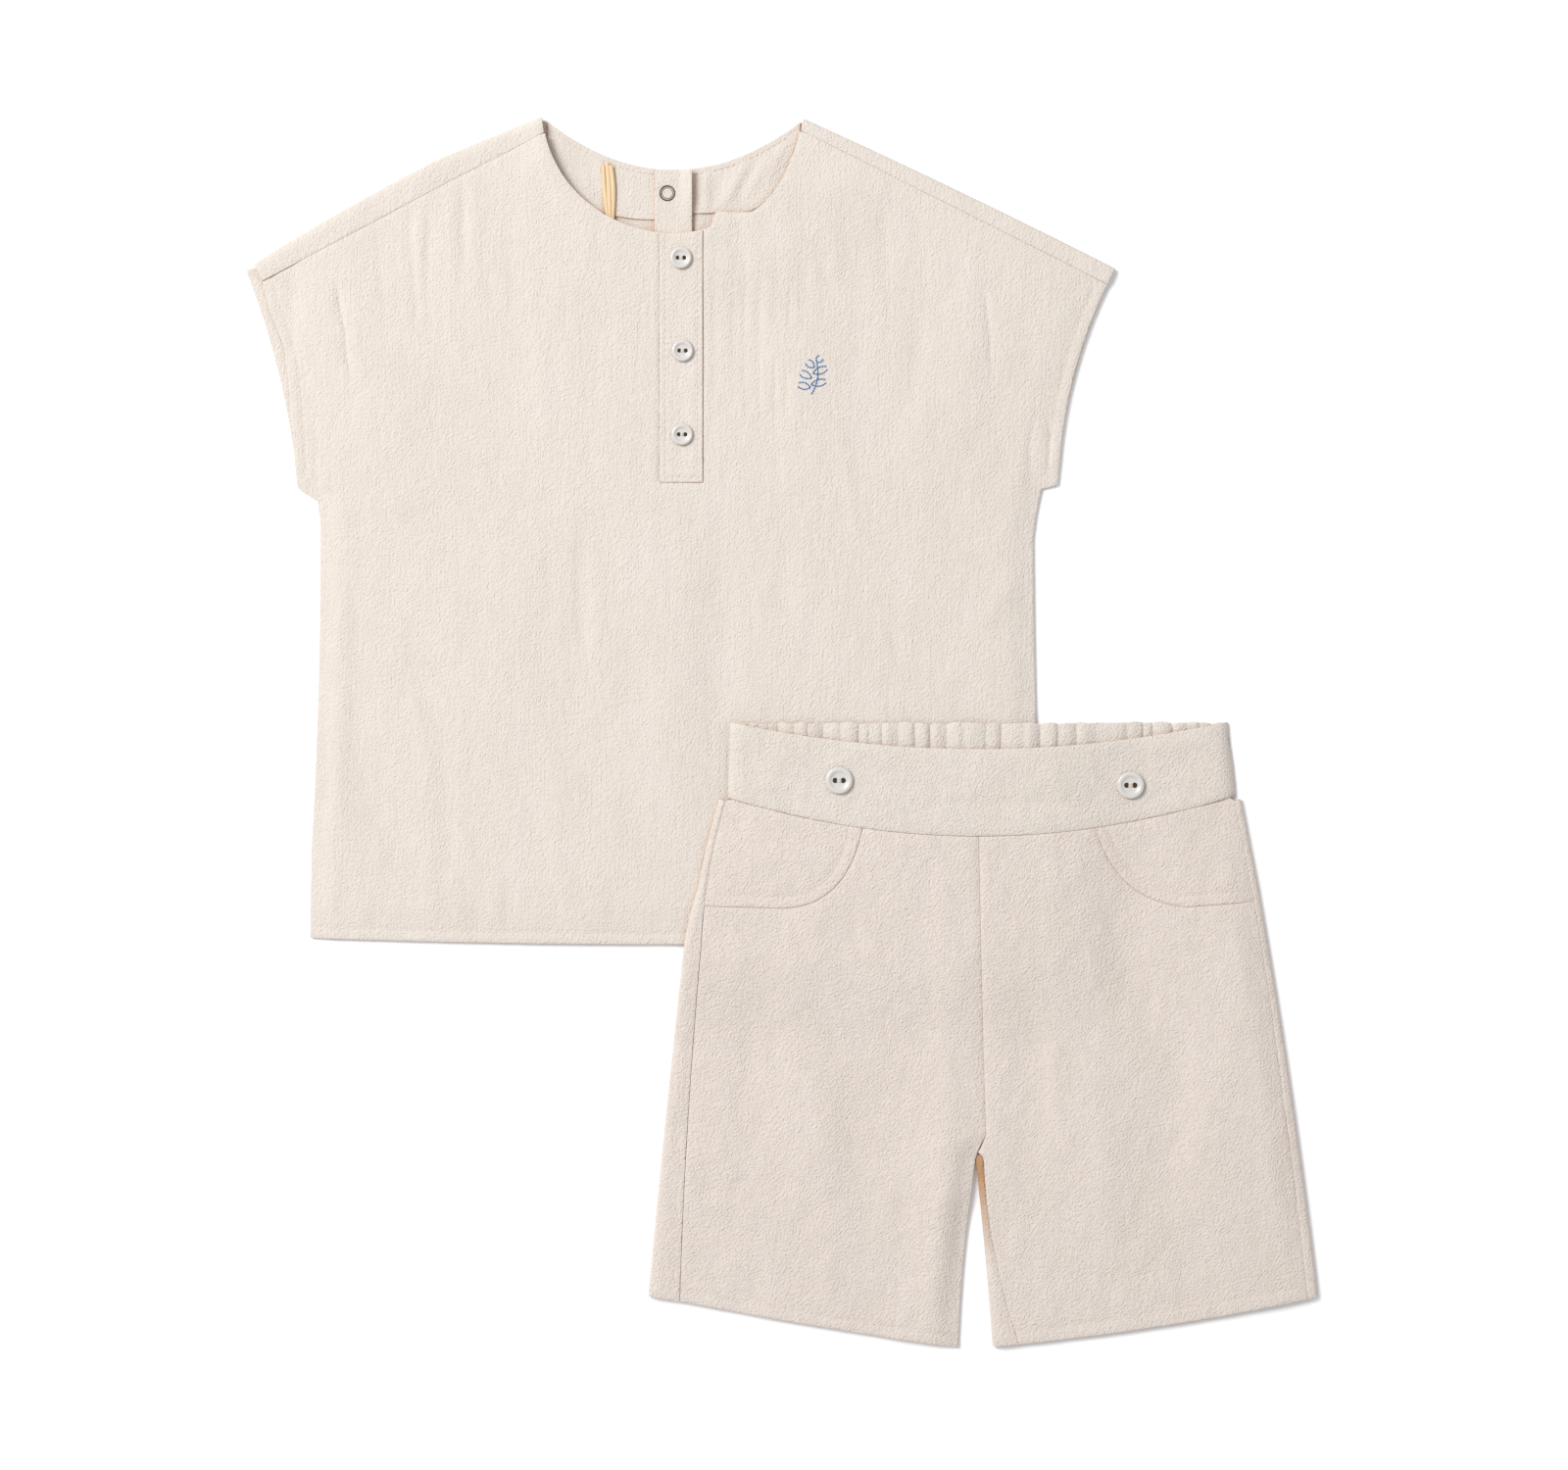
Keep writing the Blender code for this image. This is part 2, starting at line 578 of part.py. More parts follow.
def make_button(name, radius, place, parent):
    """Two-hole button: a turned disc with a raised rim and a dished middle."""
    profile = (
        (0.0, 1.5),
        (radius - 2.4, 1.6),
        (radius - 1.5, 2.2),
        (radius - 0.7, 2.3),
        (radius, 1.6),
        (radius - 0.1, 0.7),
        (radius - 0.9, 0.0),
        (0.0, 0.0),
    )
    mesh = bpy.data.meshes.new(name)
    corners = [(x * MM, 0.0, z * MM) for x, z in profile]
    mesh.from_pydata(corners, [(i, i + 1) for i in range(len(corners) - 1)], [])
    button = put(name, mesh, BUTTON_MATERIAL, parent)
    button.location = Vector(place) * MM
    turned = button.modifiers.new("Turned", "SCREW")
    turned.steps = turned.render_steps = 20
    turned.use_merge_vertices = True
    turned.merge_threshold = 1e-5
    turned.use_smooth_shade = True
    hole_radius = radius * 0.15
    hole_spacing = radius * 0.27
    drill = bmesh.new()
    for side in (-1.0, 1.0):
        hole = bmesh.ops.create_cone(
            drill,
            cap_ends=True,
            segments=10,
            radius1=hole_radius * MM,
            radius2=hole_radius * MM,
            depth=DRILL_DEPTH * MM,
        )
        bmesh.ops.translate(drill, verts=hole["verts"], vec=(side * hole_spacing * MM, 0.0, 0.0))
    drill_mesh = bpy.data.meshes.new(f"{name}_drill")
    drill.to_mesh(drill_mesh)
    drill.free()
    cutter = bpy.data.objects.new(f"{name}_drill", drill_mesh)
    cutter.parent = parent
    cutter.location = button.location
    cutter.hide_render = True
    cutter.display_type = "WIRE"
    CUTTERS.objects.link(cutter)
    holes = button.modifiers.new("Holes", "BOOLEAN")
    holes.operation = "DIFFERENCE"
    holes.object = cutter


def rest_height(flat):
    """Underside of the shorts: level on the top's corner, then eased down to the surface beyond its edges."""
    past_side = np.maximum(0.0, flat[:, 0] - STEP_SIDE_X)
    past_hem = np.maximum(0.0, STEP_HEM_Y - flat[:, 1])
    return STEP_HEIGHT * (1.0 - smooth((np.hypot(past_side, past_hem) - STEP_MARGIN) / STEP_RUN))


def waist_y(x):
    return WAIST_END_Y - WAIST_DIP * (1.0 - ((x - WAIST_MIDDLE) / WAIST_HALF) ** 2)


def band_top_y(x):
    return BAND_TOP_Y - BAND_TOP_DIP * (1.0 - ((x - WAIST_MIDDLE) / WAIST_HALF) ** 2)


def along_x(start, end, height, step=CURVE_STEP):
    x = np.linspace(start, end, max(2, round(abs(end - start) / step) + 1))
    return np.column_stack([x, height(x)])


def shorts_back_height(flat):
    return rest_height(flat) + CLOTH / 2.0


def shorts_front_height(flat):
    """Middle of a front's wall: low at the plain inseam, level inside, lifted to the band at the waist."""
    height = rest_height(flat) + FRONT_HEIGHT + CLOTH / 2.0
    inseam = distance_to(line(SHORTS_INNER_LEFT), flat)
    from_inseam = np.where(flat[:, 0] < 0.0, inseam, SIDE_RISE)
    height -= (FRONT_HEIGHT - SEAM_HEIGHT) * (1.0 - smooth(from_inseam / SIDE_RISE))
    from_waist = waist_y(flat[:, 0]) - flat[:, 1]
    from_side = WAIST_HALF - abs(flat[:, 0] - WAIST_MIDDLE)
    lift = (1.0 - smooth(from_waist / WAIST_LIFT_RUN)) * smooth(from_side / WAIST_LIFT_SIDE)
    return height + WAIST_LIFT * lift + folds_at(flat, SHORTS_FOLDS)


def paired(crest, seam):
    counts = run_counts(crest)
    return line(crest, counts), line(seam, counts)


def make_shorts_backs():
    centre = line(SHORTS_CENTRE_SEAM)
    outer = paired(SHORTS_CREST_LEFT, SHORTS_SEAM_LEFT)
    base = fold_base(*outer)
    hem = bowed(base[-1], SHORTS_INNER_LEFT[0][1:3], HEM_BULGE_LEFT, 10)
    outline = ring(
        along_x(WAIST_MIDDLE, base[0][0] + 4.0, waist_y)[1:],
        base,
        hem[1:],
        line(SHORTS_INNER_LEFT)[:-1],
        centre[::-1],
    )
    flat, faces = filled(outline, SHORTS_LATTICE)
    left = joined((lifted(flat, shorts_back_height), faces), folded_strip(*outer, shorts_back_height))
    cloth("shorts_back_left", left, FABRIC_MATERIAL, SHORTS)

    outer = paired(SHORTS_CREST_RIGHT, SHORTS_SEAM_RIGHT)
    inner = paired(SHORTS_CREST_INNER, SHORTS_SEAM_INNER)
    outer_base = fold_base(*outer)
    inner_base = fold_base(*inner)
    hem = bowed(inner_base[-1], outer_base[0], HEM_BULGE_RIGHT, 12)
    outline = ring(
        along_x(outer_base[-1][0] - 4.0, WAIST_MIDDLE + SEAM_GAP, waist_y)[:-1],
        beside(centre, SEAM_GAP),
        inner_base,
        hem[1:],
        outer_base,
    )
    flat, faces = filled(outline, SHORTS_LATTICE)
    right = joined(
        (lifted(flat, shorts_back_height), faces),
        folded_strip(*outer, shorts_back_height),
        folded_strip(*inner, shorts_back_height),
    )
    cloth("shorts_back_right", right, FABRIC_MATERIAL, SHORTS)


def pocket_edge(side):
    """The pocket's free edge: a quadratic curve, then a straight run past the side seam."""
    start, pull, end, beyond = (np.array(p) for p in POCKET_CURVES[side])
    t = np.linspace(0.0, 1.0, 9)[:, None]
    curve = start * (1.0 - t) ** 2 + 2.0 * pull * t * (1.0 - t) + end * t * t
    return np.concatenate([curve, bowed(end, beyond, 0.0, 4)[1:], [beyond]])


def make_shorts_front(side, outline):
    edge = pocket_edge(side)
    flat, faces = filled(outline, SHORTS_LATTICE, (edge,))
    front = (lifted(flat, shorts_front_height), faces)
    cloth(f"shorts_front_{side}", front, FABRIC_MATERIAL, SHORTS)
    above = np.array([(edge[-1][0], 200.0), (edge[0][0], 200.0)])
    patch = patch_on(front, np.concatenate([edge, above]), CLOTH + SEAM_GAP)
    cloth(f"shorts_pocket_{side}", patch, FABRIC_MATERIAL, SHORTS)


def make_shorts_fronts():
    centre = line(SHORTS_CENTRE_SEAM)
    seam = beside(paired(SHORTS_CREST_LEFT, SHORTS_SEAM_LEFT)[1], SEAM_GAP)
    hem = bowed(seam[-1], SHORTS_INNER_LEFT[0][1:3], HEM_BULGE_LEFT, 10)
    outline = ring(
        along_x(WAIST_MIDDLE, seam[0][0] + 3.0, waist_y)[1:],
        seam,
        hem[1:],
        line(SHORTS_INNER_LEFT)[:-1],
        centre[::-1],
    )
    make_shorts_front("left", outline)

    outer = beside(paired(SHORTS_CREST_RIGHT, SHORTS_SEAM_RIGHT)[1], SEAM_GAP)
    inner = beside(paired(SHORTS_CREST_INNER, SHORTS_SEAM_INNER)[1], SEAM_GAP)
    hem = bowed(inner[-1], outer[0], HEM_BULGE_RIGHT, 12)
    outline = ring(
        along_x(outer[-1][0] - 3.0, WAIST_MIDDLE + SEAM_GAP, waist_y)[:-1],
        beside(line(SHORTS_CENTRE_SEAM[:2]), SEAM_GAP),
        line(SHORTS_RISE_RIGHT)[1:] + np.array([SEAM_GAP, 0.0]),
        inner,
        hem[1:],
        outer,
    )
    make_shorts_front("right", outline)


def gather_height(x):
    """One rounded puff between each two creases, lower where the creases are close."""
    creases = np.array((BACK_BAND_ENDS[0], *GATHER_CREASES, BACK_BAND_ENDS[1]))
    cell = np.clip(np.searchsorted(creases, x, side="right") - 1, 0, len(creases) - 2)
    width = creases[cell + 1] - creases[cell]
    puff = np.sin(np.pi * (x - creases[cell]) / width)
    return GATHER_HEIGHT * puff * np.minimum(1.0, width / GATHER_FULL_WIDTH)


def make_back_band():
    creases = (BACK_BAND_ENDS[0], *GATHER_CREASES, BACK_BAND_ENDS[1])
    at = np.arange(SAMPLES_PER_GATHER * (len(creases) - 1) + 1) / SAMPLES_PER_GATHER
    x = np.interp(at, np.arange(len(creases)), creases)
    puffs = gather_height(x)
    foot = waist_y(x) + SEAM_GAP
    points = []
    for row in range(GATHER_ROWS + 1):
        t = row / GATHER_ROWS
        y = foot + (BACK_BAND_TOP_Y - foot) * t
        flat = np.column_stack([x, y])
        points.append(np.column_stack([flat, rest_height(flat) + GATHER_FOOT + puffs * (0.45 + 0.55 * t)]))
    gathered = (np.concatenate(points), grid_faces(GATHER_ROWS + 1, len(x)))
    cloth("shorts_band_back", gathered, FABRIC_MATERIAL, SHORTS)


def band_height(flat):
    """Middle of the front band's wall: level over the gathers, rolled down to the back band at both ends."""
    t = (flat[:, 1] - WAIST_END_Y) / (BAND_TOP_Y - WAIST_END_Y)
    left = BAND_LEFT[0] + (BAND_LEFT[1] - BAND_LEFT[0]) * t
    right = BAND_RIGHT[0] + (BAND_RIGHT[1] - BAND_RIGHT[0]) * t
    from_end = np.minimum(flat[:, 0] - left, right - flat[:, 0])
    inward = 1.0 - np.clip(from_end / BAND_ROLL, 0.0, 1.0)
    level = BAND_EDGE_LIFT + (BAND_LIFT - BAND_EDGE_LIFT) * np.sqrt(1.0 - inward**2)
    return rest_height(flat) + level + BAND_CLOTH / 2.0


def make_front_band():
    foot = along_x(BAND_LEFT[0], BAND_RIGHT[0], waist_y) + np.array([0.0, SEAM_GAP])
    top = along_x(BAND_RIGHT[1], BAND_LEFT[1], band_top_y)
    outline = ring(foot, bowed(foot[-1], top[0], 0.3, 4)[1:], top, bowed(top[-1], foot[0], 0.0, 4)[1:])
    rolls = []
    for end, sign in ((BAND_LEFT, 1.0), (BAND_RIGHT, -1.0)):
        for inset in BAND_ROLL_LINES:
            low_x = end[0] + sign * inset * BAND_ROLL
            high_x = end[1] + sign * inset * BAND_ROLL
            rolls.append(np.array([(low_x, waist_y(low_x) - 1.0), (high_x, band_top_y(high_x) + 1.0)]))
    flat, faces = filled(outline, SMALL_LATTICE, tuple(rolls))
    band = (lifted(flat, band_height), faces)
    cloth("shorts_band_front", band, FABRIC_MATERIAL, SHORTS, BAND_CLOTH)
    for side, (x, y) in SHORTS_BUTTONS.items():
        height = seat_height(band, BAND_CLOTH, x, y, SHORTS_BUTTON_RADIUS)
        place = (x, y, height + SEAM_GAP)
        make_button(f"shorts_button_{side}", SHORTS_BUTTON_RADIUS, place, SHORTS)


def garment_origin(name, place):
    origin = bpy.data.objects.new(name, None)
    origin.location = (place[0] * MM, place[1] * MM, 0.0)
    PARTS.objects.link(origin)
    return origin


clear_scene()
PARTS = new_collection("top_and_shorts_set")
CUTTERS = new_collection("cutters", helpers=True)
FABRIC_MATERIAL = plain_material("crepe_cotton", FABRIC, FABRIC_ROUGHNESS)
LOOP_MATERIAL = plain_material("loop_tape", LOOP_COLOUR, 0.8)
BUTTON_MATERIAL = plain_material("button_resin", BUTTON_COLOUR, 0.3)
METAL_MATERIAL = plain_material("snap_metal", METAL_COLOUR, 0.35, 1.0)
TOP = garment_origin("top", TOP_AT)
SHORTS = garment_origin("shorts", SHORTS_AT)

make_top_back()
make_top_front()
make_facing("left")
make_facing("right")
make_back_strip()
make_loop()
make_shorts_backs()
make_shorts_fronts()
make_back_band()
make_front_band()
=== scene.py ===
import math

import bmesh
import bpy
import numpy as np
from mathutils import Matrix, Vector
from mathutils.geometry import delaunay_2d_cdt
from mathutils.kdtree import KDTree


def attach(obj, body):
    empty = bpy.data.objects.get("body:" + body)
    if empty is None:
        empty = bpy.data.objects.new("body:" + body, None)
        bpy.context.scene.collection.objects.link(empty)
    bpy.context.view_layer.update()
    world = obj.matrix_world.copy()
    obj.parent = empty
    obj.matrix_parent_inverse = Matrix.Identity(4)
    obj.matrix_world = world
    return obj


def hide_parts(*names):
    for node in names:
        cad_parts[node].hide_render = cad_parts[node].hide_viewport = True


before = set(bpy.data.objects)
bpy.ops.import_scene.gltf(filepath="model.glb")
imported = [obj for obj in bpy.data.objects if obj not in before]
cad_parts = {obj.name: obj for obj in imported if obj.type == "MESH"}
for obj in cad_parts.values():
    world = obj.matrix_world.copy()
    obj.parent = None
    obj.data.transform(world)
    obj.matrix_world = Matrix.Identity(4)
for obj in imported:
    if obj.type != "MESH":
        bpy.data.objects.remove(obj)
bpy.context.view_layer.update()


# Studio. A white paper sweep seen straight from above by a long lens. One broad soft light stands
# at the upper left, and the white walls of the room fill the shadows from all round.

MM = 0.001
CAMERA_AIM = (1.2, -0.9)
CAMERA_HEIGHT = 1741.0
CAMERA_LENS = 85.0
KEY_AT = (-1680.0, 1150.0, 2420.0)
KEY_SIZE = 1300.0
KEY_POWER = 85.5
ROOM_LIGHT = 0.625


def linear(colour):
    """An sRGB hex colour as linear red, green, blue and alpha."""
    parts = [int(colour[i:i + 2], 16) / 255.0 for i in (1, 3, 5)]
    return (*[c / 12.92 if c <= 0.04045 else ((c + 0.055) / 1.055) ** 2.4 for c in parts], 1.0)


def node(tree, kind, inputs=(), **settings):
    """Adds a node: settings are its own fields, inputs its sockets' values or the sockets linked to them."""
    made = tree.nodes.new(kind)
    for name, value in settings.items():
        setattr(made, name, value)
    for name, value in dict(inputs).items():
        if isinstance(value, bpy.types.NodeSocket):
            tree.links.new(value, made.inputs[name])
        else:
            made.inputs[name].default_value = value
    return made


def finish_of(name, roughness, **sockets):
    """A material with its Principled shader's steady values set, and the parts to build on."""
    material = bpy.data.materials.new(name)
    material.use_nodes = True
    tree = material.node_tree
    shader = tree.nodes["Principled BSDF"]
    shader.inputs["Roughness"].default_value = roughness
    for socket, value in sockets.items():
        shader.inputs[socket.replace("_", " ")].default_value = value
    place = node(tree, "ShaderNodeTexCoord").outputs["Object"]
    return material, tree, shader, place


def pattern(tree, place, width, length, slant=0.0, **sockets):
    """Uneven patches in cells of width by length millimetres, turned by slant degrees."""
    cell = (width * MM, length * MM, width * MM)
    turned = {"Vector": place, "Rotation": (0.0, 0.0, math.radians(slant)), "Scale": cell}
    vector = node(tree, "ShaderNodeMapping", turned, vector_type="TEXTURE").outputs["Vector"]
    return node(tree, "ShaderNodeTexNoise", {"Vector": vector, **sockets}).outputs


def coloured(tree, shader, factor, dark, light):
    """Gives a finish its colour, which varies between two hex colours."""
    mix = node(tree, "ShaderNodeMix", {0: factor, 6: linear(dark), 7: linear(light)}, data_type="RGBA")
    tree.links.new(mix.outputs[2], shader.inputs["Base Color"])


def placed(name, data):
    """An object of its own for a mesh, camera or light, in the scene."""
    made = bpy.data.objects.new(name, data)
    bpy.context.scene.collection.objects.link(made)
    return made


# Matt background paper: an even white that gives soft-edged contact shadows and no gloss
paper, paper_tree, paper_shader, paper_place = finish_of("background_paper", 0.95, Specular_IOR_Level=0.1)
fibre = pattern(paper_tree, paper_place, 3.0, 3.0)["Fac"]
coloured(paper_tree, paper_shader, fibre, "#fafafa", "#fdfdfd")

floor_mesh = bpy.data.meshes.new("studio_floor")
floor_mesh.from_pydata([(-6, -6, 0), (6, -6, 0), (6, 6, 0), (-6, 6, 0)], [], [(0, 1, 2, 3)])
floor_mesh.materials.append(paper)
studio_floor = placed("studio_floor", floor_mesh)
studio_floor.location.z = -0.05 * MM

camera_data = bpy.data.cameras.new("camera")
camera_data.lens = CAMERA_LENS
camera_data.clip_end = 20.0
camera = placed("camera", camera_data)
camera.location = Vector((*CAMERA_AIM, CAMERA_HEIGHT)) * MM
bpy.context.scene.camera = camera

key_data = bpy.data.lights.new("key_softbox", "AREA")
key_data.size = KEY_SIZE * MM
key_data.energy = KEY_POWER
key = placed("key_softbox", key_data)
key.location = Vector(KEY_AT) * MM
key.rotation_euler = (-key.location).to_track_quat("-Z", "Y").to_euler()

room = bpy.data.worlds.new("white_room")
room.use_nodes = True
room.node_tree.nodes["Background"].inputs["Color"].default_value = linear("#fdfdff")
room.node_tree.nodes["Background"].inputs["Strength"].default_value = ROOM_LIGHT
bpy.context.scene.world = room
bpy.context.scene.view_settings.view_transform = "Standard"


# Back of the top. One layer of crinkled cotton crepe, cut on with its cap sleeves. It lies flat on
# the paper and turns forward over both shoulders, where it is seamed to the front.

TOP_AT = (-48.5, -98.45)
WALL = 1.0
STEP = 2.5
FOLD_RADIUS = 1.3
FOLD_STEPS = 10
NECK_CENTRE = (-2.8, 386.4)

# Edge of the top as it lies, anticlockwise: name, x, y, outward bulge of the run to the next point
TOP_EDGE = (
    ("hem left", -172.9, 2.4, 3.0),
    ("hem right", 171.0, 2.4, -0.8),
    ("side right", 166.4, 190.0, -0.4),
    ("underarm right", 170.4, 213.2, 0.2),
    ("sleeve foot right", 178.2, 215.3, -5.3),
    ("sleeve tip right", 204.9, 316.0, 0.8),
    ("neck right", 58.9, 386.9, -24.0),
    ("neck left", -63.9, 387.6, 0.0),
    ("shoulder point left", -111.3, 367.8, 0.0),
    ("sleeve tip left", -203.3, 316.0, -3.7),
    ("sleeve foot left", -178.8, 213.6, 0.4),
    ("underarm left", -169.4, 207.9, 0.3),
    ("side left", -168.0, 198.0, -1.2),
    ("low left", -172.2, 45.0, 0.0),
)
TOP_CREST_RIGHT = (("sleeve", 205.1, 316.8, 0.9), ("neck", 58.9, 387.2, 0.0))
TOP_SEAM_RIGHT = (("sleeve", 201.5, 309.2, 0.0), ("neck", 57.6, 381.3, 0.0))
TOP_CREST_LEFT = (
    ("neck", -63.9, 387.8, 0.2),
    ("shoulder point", -111.3, 368.7, 1.3),
    ("sleeve", -199.4, 318.9, 0.0),
)
TOP_SEAM_LEFT = (
    ("neck", -62.8, 379.8, 0.0),
    ("shoulder point", -107.6, 357.2, 0.0),
    ("sleeve", -195.2, 310.6, 0.0),
)


def smooth(t):
    t = np.clip(t, 0.0, 1.0)
    return t * t * (3.0 - 2.0 * t)


def bowed(start, end, bulge, count):
    """count points from start towards end, on a parabola that stands bulge to the right of the way."""
    start = np.array(start, float)
    run = np.array(end, float) - start
    t = np.arange(count)[:, None] / count
    right = np.array([run[1], -run[0]]) / np.hypot(*run)
    return start + run * t + right * (4.0 * bulge * t * (1.0 - t))


def run_counts(table, step=STEP):
    return [max(1, round(math.dist(a[1:3], b[1:3]) / step)) for a, b in zip(table, table[1:])]


def line(table, counts=None):
    """The points of a table of named points and bulges, both ends included."""
    counts = counts or run_counts(table)
    runs = [bowed(a[1:3], b[1:3], a[3], count) for a, b, count in zip(table, table[1:], counts)]
    return np.concatenate([*runs, [table[-1][1:3]]])


def part_of_edge(first, last, step=STEP):
    """The run of the top's edge from one named point to another, anticlockwise."""
    at = [row[0] for row in TOP_EDGE].index(first)
    rows = [TOP_EDGE[at]]
    while rows[-1][0] != last:
        at = (at + 1) % len(TOP_EDGE)
        rows.append(TOP_EDGE[at])
    return line(rows, run_counts(rows, step))


def beside(points, distance):
    """The line moved to the left of its way."""
    ahead = np.gradient(points, axis=0)
    ahead /= np.hypot(ahead[:, 0], ahead[:, 1])[:, None]
    return points + distance * np.stack([-ahead[:, 1], ahead[:, 0]], axis=1)


def ring(*lines):
    """One closed outline from lines that follow each other, with points that coincide taken once."""
    points = np.concatenate(lines)
    return points[np.hypot(*(points - np.roll(points, 1, axis=0)).T) > 0.2]


def paired(crest, seam):
    counts = run_counts(crest)
    return line(crest, counts), line(seam, counts)


def is_inside(outline, points):
    inside = np.zeros(len(points), bool)
    for (x0, y0), (x1, y1) in zip(outline, np.roll(outline, -1, axis=0)):
        if y0 != y1:
            crosses = (y0 > points[:, 1]) != (y1 > points[:, 1])
            inside ^= crosses & (points[:, 0] < x0 + (points[:, 1] - y0) * (x1 - x0) / (y1 - y0))
    return inside


def distance_to(line_points, points):
    """How far each point is from a line, by its nearest segment."""
    nearest = np.full(len(points), 1e9)
    for start, end in zip(line_points, line_points[1:]):
        run = end - start
        offset = points - start
        t = np.clip(offset @ run / (run @ run), 0.0, 1.0)
        nearest = np.minimum(nearest, np.hypot(*(offset - t[:, None] * run).T))
    return nearest


def filled(outline, step, cuts=()):
    """An even triangle lattice inside an outline, with each cut line as edges of its own."""
    row_height = step * math.sqrt(3.0) / 2.0
    low = outline.min(0) - 0.37 * step
    rows = np.arange(int((outline[:, 1].max() - low[1]) / row_height) + 1)
    columns = np.arange(int((outline[:, 0].max() - low[0]) / step) + 1)
    row, column = np.meshgrid(rows, columns, indexing="ij")
    inner = np.stack([low[0] + (column + 0.5 * (row % 2)) * step, low[1] + row * row_height], axis=2)
    inner = inner.reshape(-1, 2)
    inner = inner[is_inside(outline, inner)]
    fixed = np.concatenate([outline, *cuts])
    near = KDTree(len(fixed))
    for index, (x, y) in enumerate(fixed):
        near.insert((x, y, 0.0), index)
    near.balance()
    inner = inner[[near.find((x, y, 0.0))[2] > 0.6 * step for x, y in inner]]
    edges = []
    start = len(outline)
    for cut in cuts:
        edges += [(start + i, start + i + 1) for i in range(len(cut) - 1)]
        start += len(cut)
    flat = [Vector(p) for p in np.concatenate([fixed, inner])]
    made = delaunay_2d_cdt(flat, edges, [list(range(len(outline)))], 1, 1e-4)
    return np.array([tuple(p) for p in made[0]]), [tuple(f) for f in made[2]]


def lifted(flat, height):
    return np.column_stack([flat, height(flat)])


def grid_faces(rows, count):
    """Quads between rows of count points each."""
    return [
        (r * count + i, r * count + i + 1, (r + 1) * count + i + 1, (r + 1) * count + i)
        for r in range(rows - 1)
        for i in range(count - 1)
    ]


def joined(*pieces):
    points = []
    faces = []
    for piece_points, piece_faces in pieces:
        start = sum(len(p) for p in points)
        points.append(piece_points)
        faces += [tuple(start + i for i in face) for face in piece_faces]
    return np.concatenate(points), faces


def rumple(flat, width, length, seed):
    """Smooth random heights from -1 to 1, in cells of width by length millimetres."""
    heights = np.random.default_rng(seed).uniform(-1.0, 1.0, (128, 128))
    u = flat[:, 0] / width + 0.7 * np.sin(flat[:, 1] / (1.3 * length) + seed)
    v = flat[:, 1] / length + 0.5 * np.sin(flat[:, 0] / (2.1 * width) + 2.0 * seed)
    i, j = np.floor(u).astype(int), np.floor(v).astype(int)
    s, t = smooth(u - i), smooth(v - j)
    low = heights[i % 128, j % 128] * (1.0 - s) + heights[(i + 1) % 128, j % 128] * s
    high = heights[i % 128, (j + 1) % 128] * (1.0 - s) + heights[(i + 1) % 128, (j + 1) % 128] * s
    return low * (1.0 - t) + high * t


def fold_base(crest, seam):
    """Where a panel stops being flat, so that its turn ends at the crest."""
    inward = seam - crest
    inward /= np.hypot(inward[:, 0], inward[:, 1])[:, None]
    return crest + inward * (FOLD_RADIUS + WALL / 2.0)


def folded_strip(crest, seam, height, seed, fullness=1.0, over=None):
    """The stretch of a panel that turns over at its crest and lies back to the seam: points and quads.

    It stands higher where its fullness is above 1, and over gives what it follows below it.
    """
    base = fold_base(crest, seam)
    outward = crest - base
    outward /= np.hypot(outward[:, 0], outward[:, 1])[:, None]
    low = height(base)
    rows = []
    for step in range(FOLD_STEPS + 1):
        turn = math.pi * step / FOLD_STEPS
        rise = low + fullness * FOLD_RADIUS * (1.0 - math.cos(turn))
        rows.append(np.column_stack([base + outward * FOLD_RADIUS * math.sin(turn), rise]))
    reach = np.hypot(*(seam - base).T).max()
    lying = max(2, round(reach / 1.6))
    for step in range(1, lying + 1):
        t = step / lying
        flat = base + (seam - base) * t
        crown = 0.35 * math.sin(math.pi * min(1.0, 0.35 + 0.65 * t))
        rise = low + 2.0 * fullness * FOLD_RADIUS + crown
        rise += 0.12 * rumple(flat, 7.0, 9.0, seed) * math.sin(math.pi * t)
        if over:
            rise += over(flat)
        rows.append(np.column_stack([flat, rise]))
    return np.concatenate(rows), grid_faces(len(rows), len(crest))


def cloth(name, surface, at, material, wall=WALL, shaded=None):
    """A panel's middle surface made into a closed shell with rounded edges, placed on the paper.

    A second material and the numbers of the faces that take it may be given as shaded.
    """
    points, faces = surface
    shape = bmesh.new()
    corners = [shape.verts.new(((x + at[0]) * MM, (y + at[1]) * MM, z * MM)) for x, y, z in points]
    for face in faces:
        shape.faces.new([corners[i] for i in face])
    shape.faces.ensure_lookup_table()
    for index in shaded[1] if shaded else ():
        shape.faces[index].material_index = 1
    bmesh.ops.remove_doubles(shape, verts=shape.verts[:], dist=2e-6)
    bmesh.ops.delete(shape, geom=[v for v in shape.verts if not v.link_faces], context="VERTS")
    bmesh.ops.recalc_face_normals(shape, faces=shape.faces[:])
    mesh = bpy.data.meshes.new(name)
    shape.to_mesh(mesh)
    shape.free()
    mesh.shade_smooth()
    mesh.materials.append(material)
    if shaded:
        mesh.materials.append(shaded[0])
    piece = placed(name, mesh)
    solid = piece.modifiers.new("Wall", "SOLIDIFY")
    solid.thickness = wall * MM
    solid.offset = 0.0
    rounded = piece.modifiers.new("Rounded edge", "BEVEL")
    rounded.width = 0.25 * wall * MM
    rounded.segments = 2
    rounded.limit_method = "ANGLE"
    rounded.angle_limit = math.radians(62.0)
    return piece


def sewn_in(piece, node_names):
    """Attaches a panel to the root body and hides the solids that it stands for."""
    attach(piece, "root")
    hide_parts(*node_names)


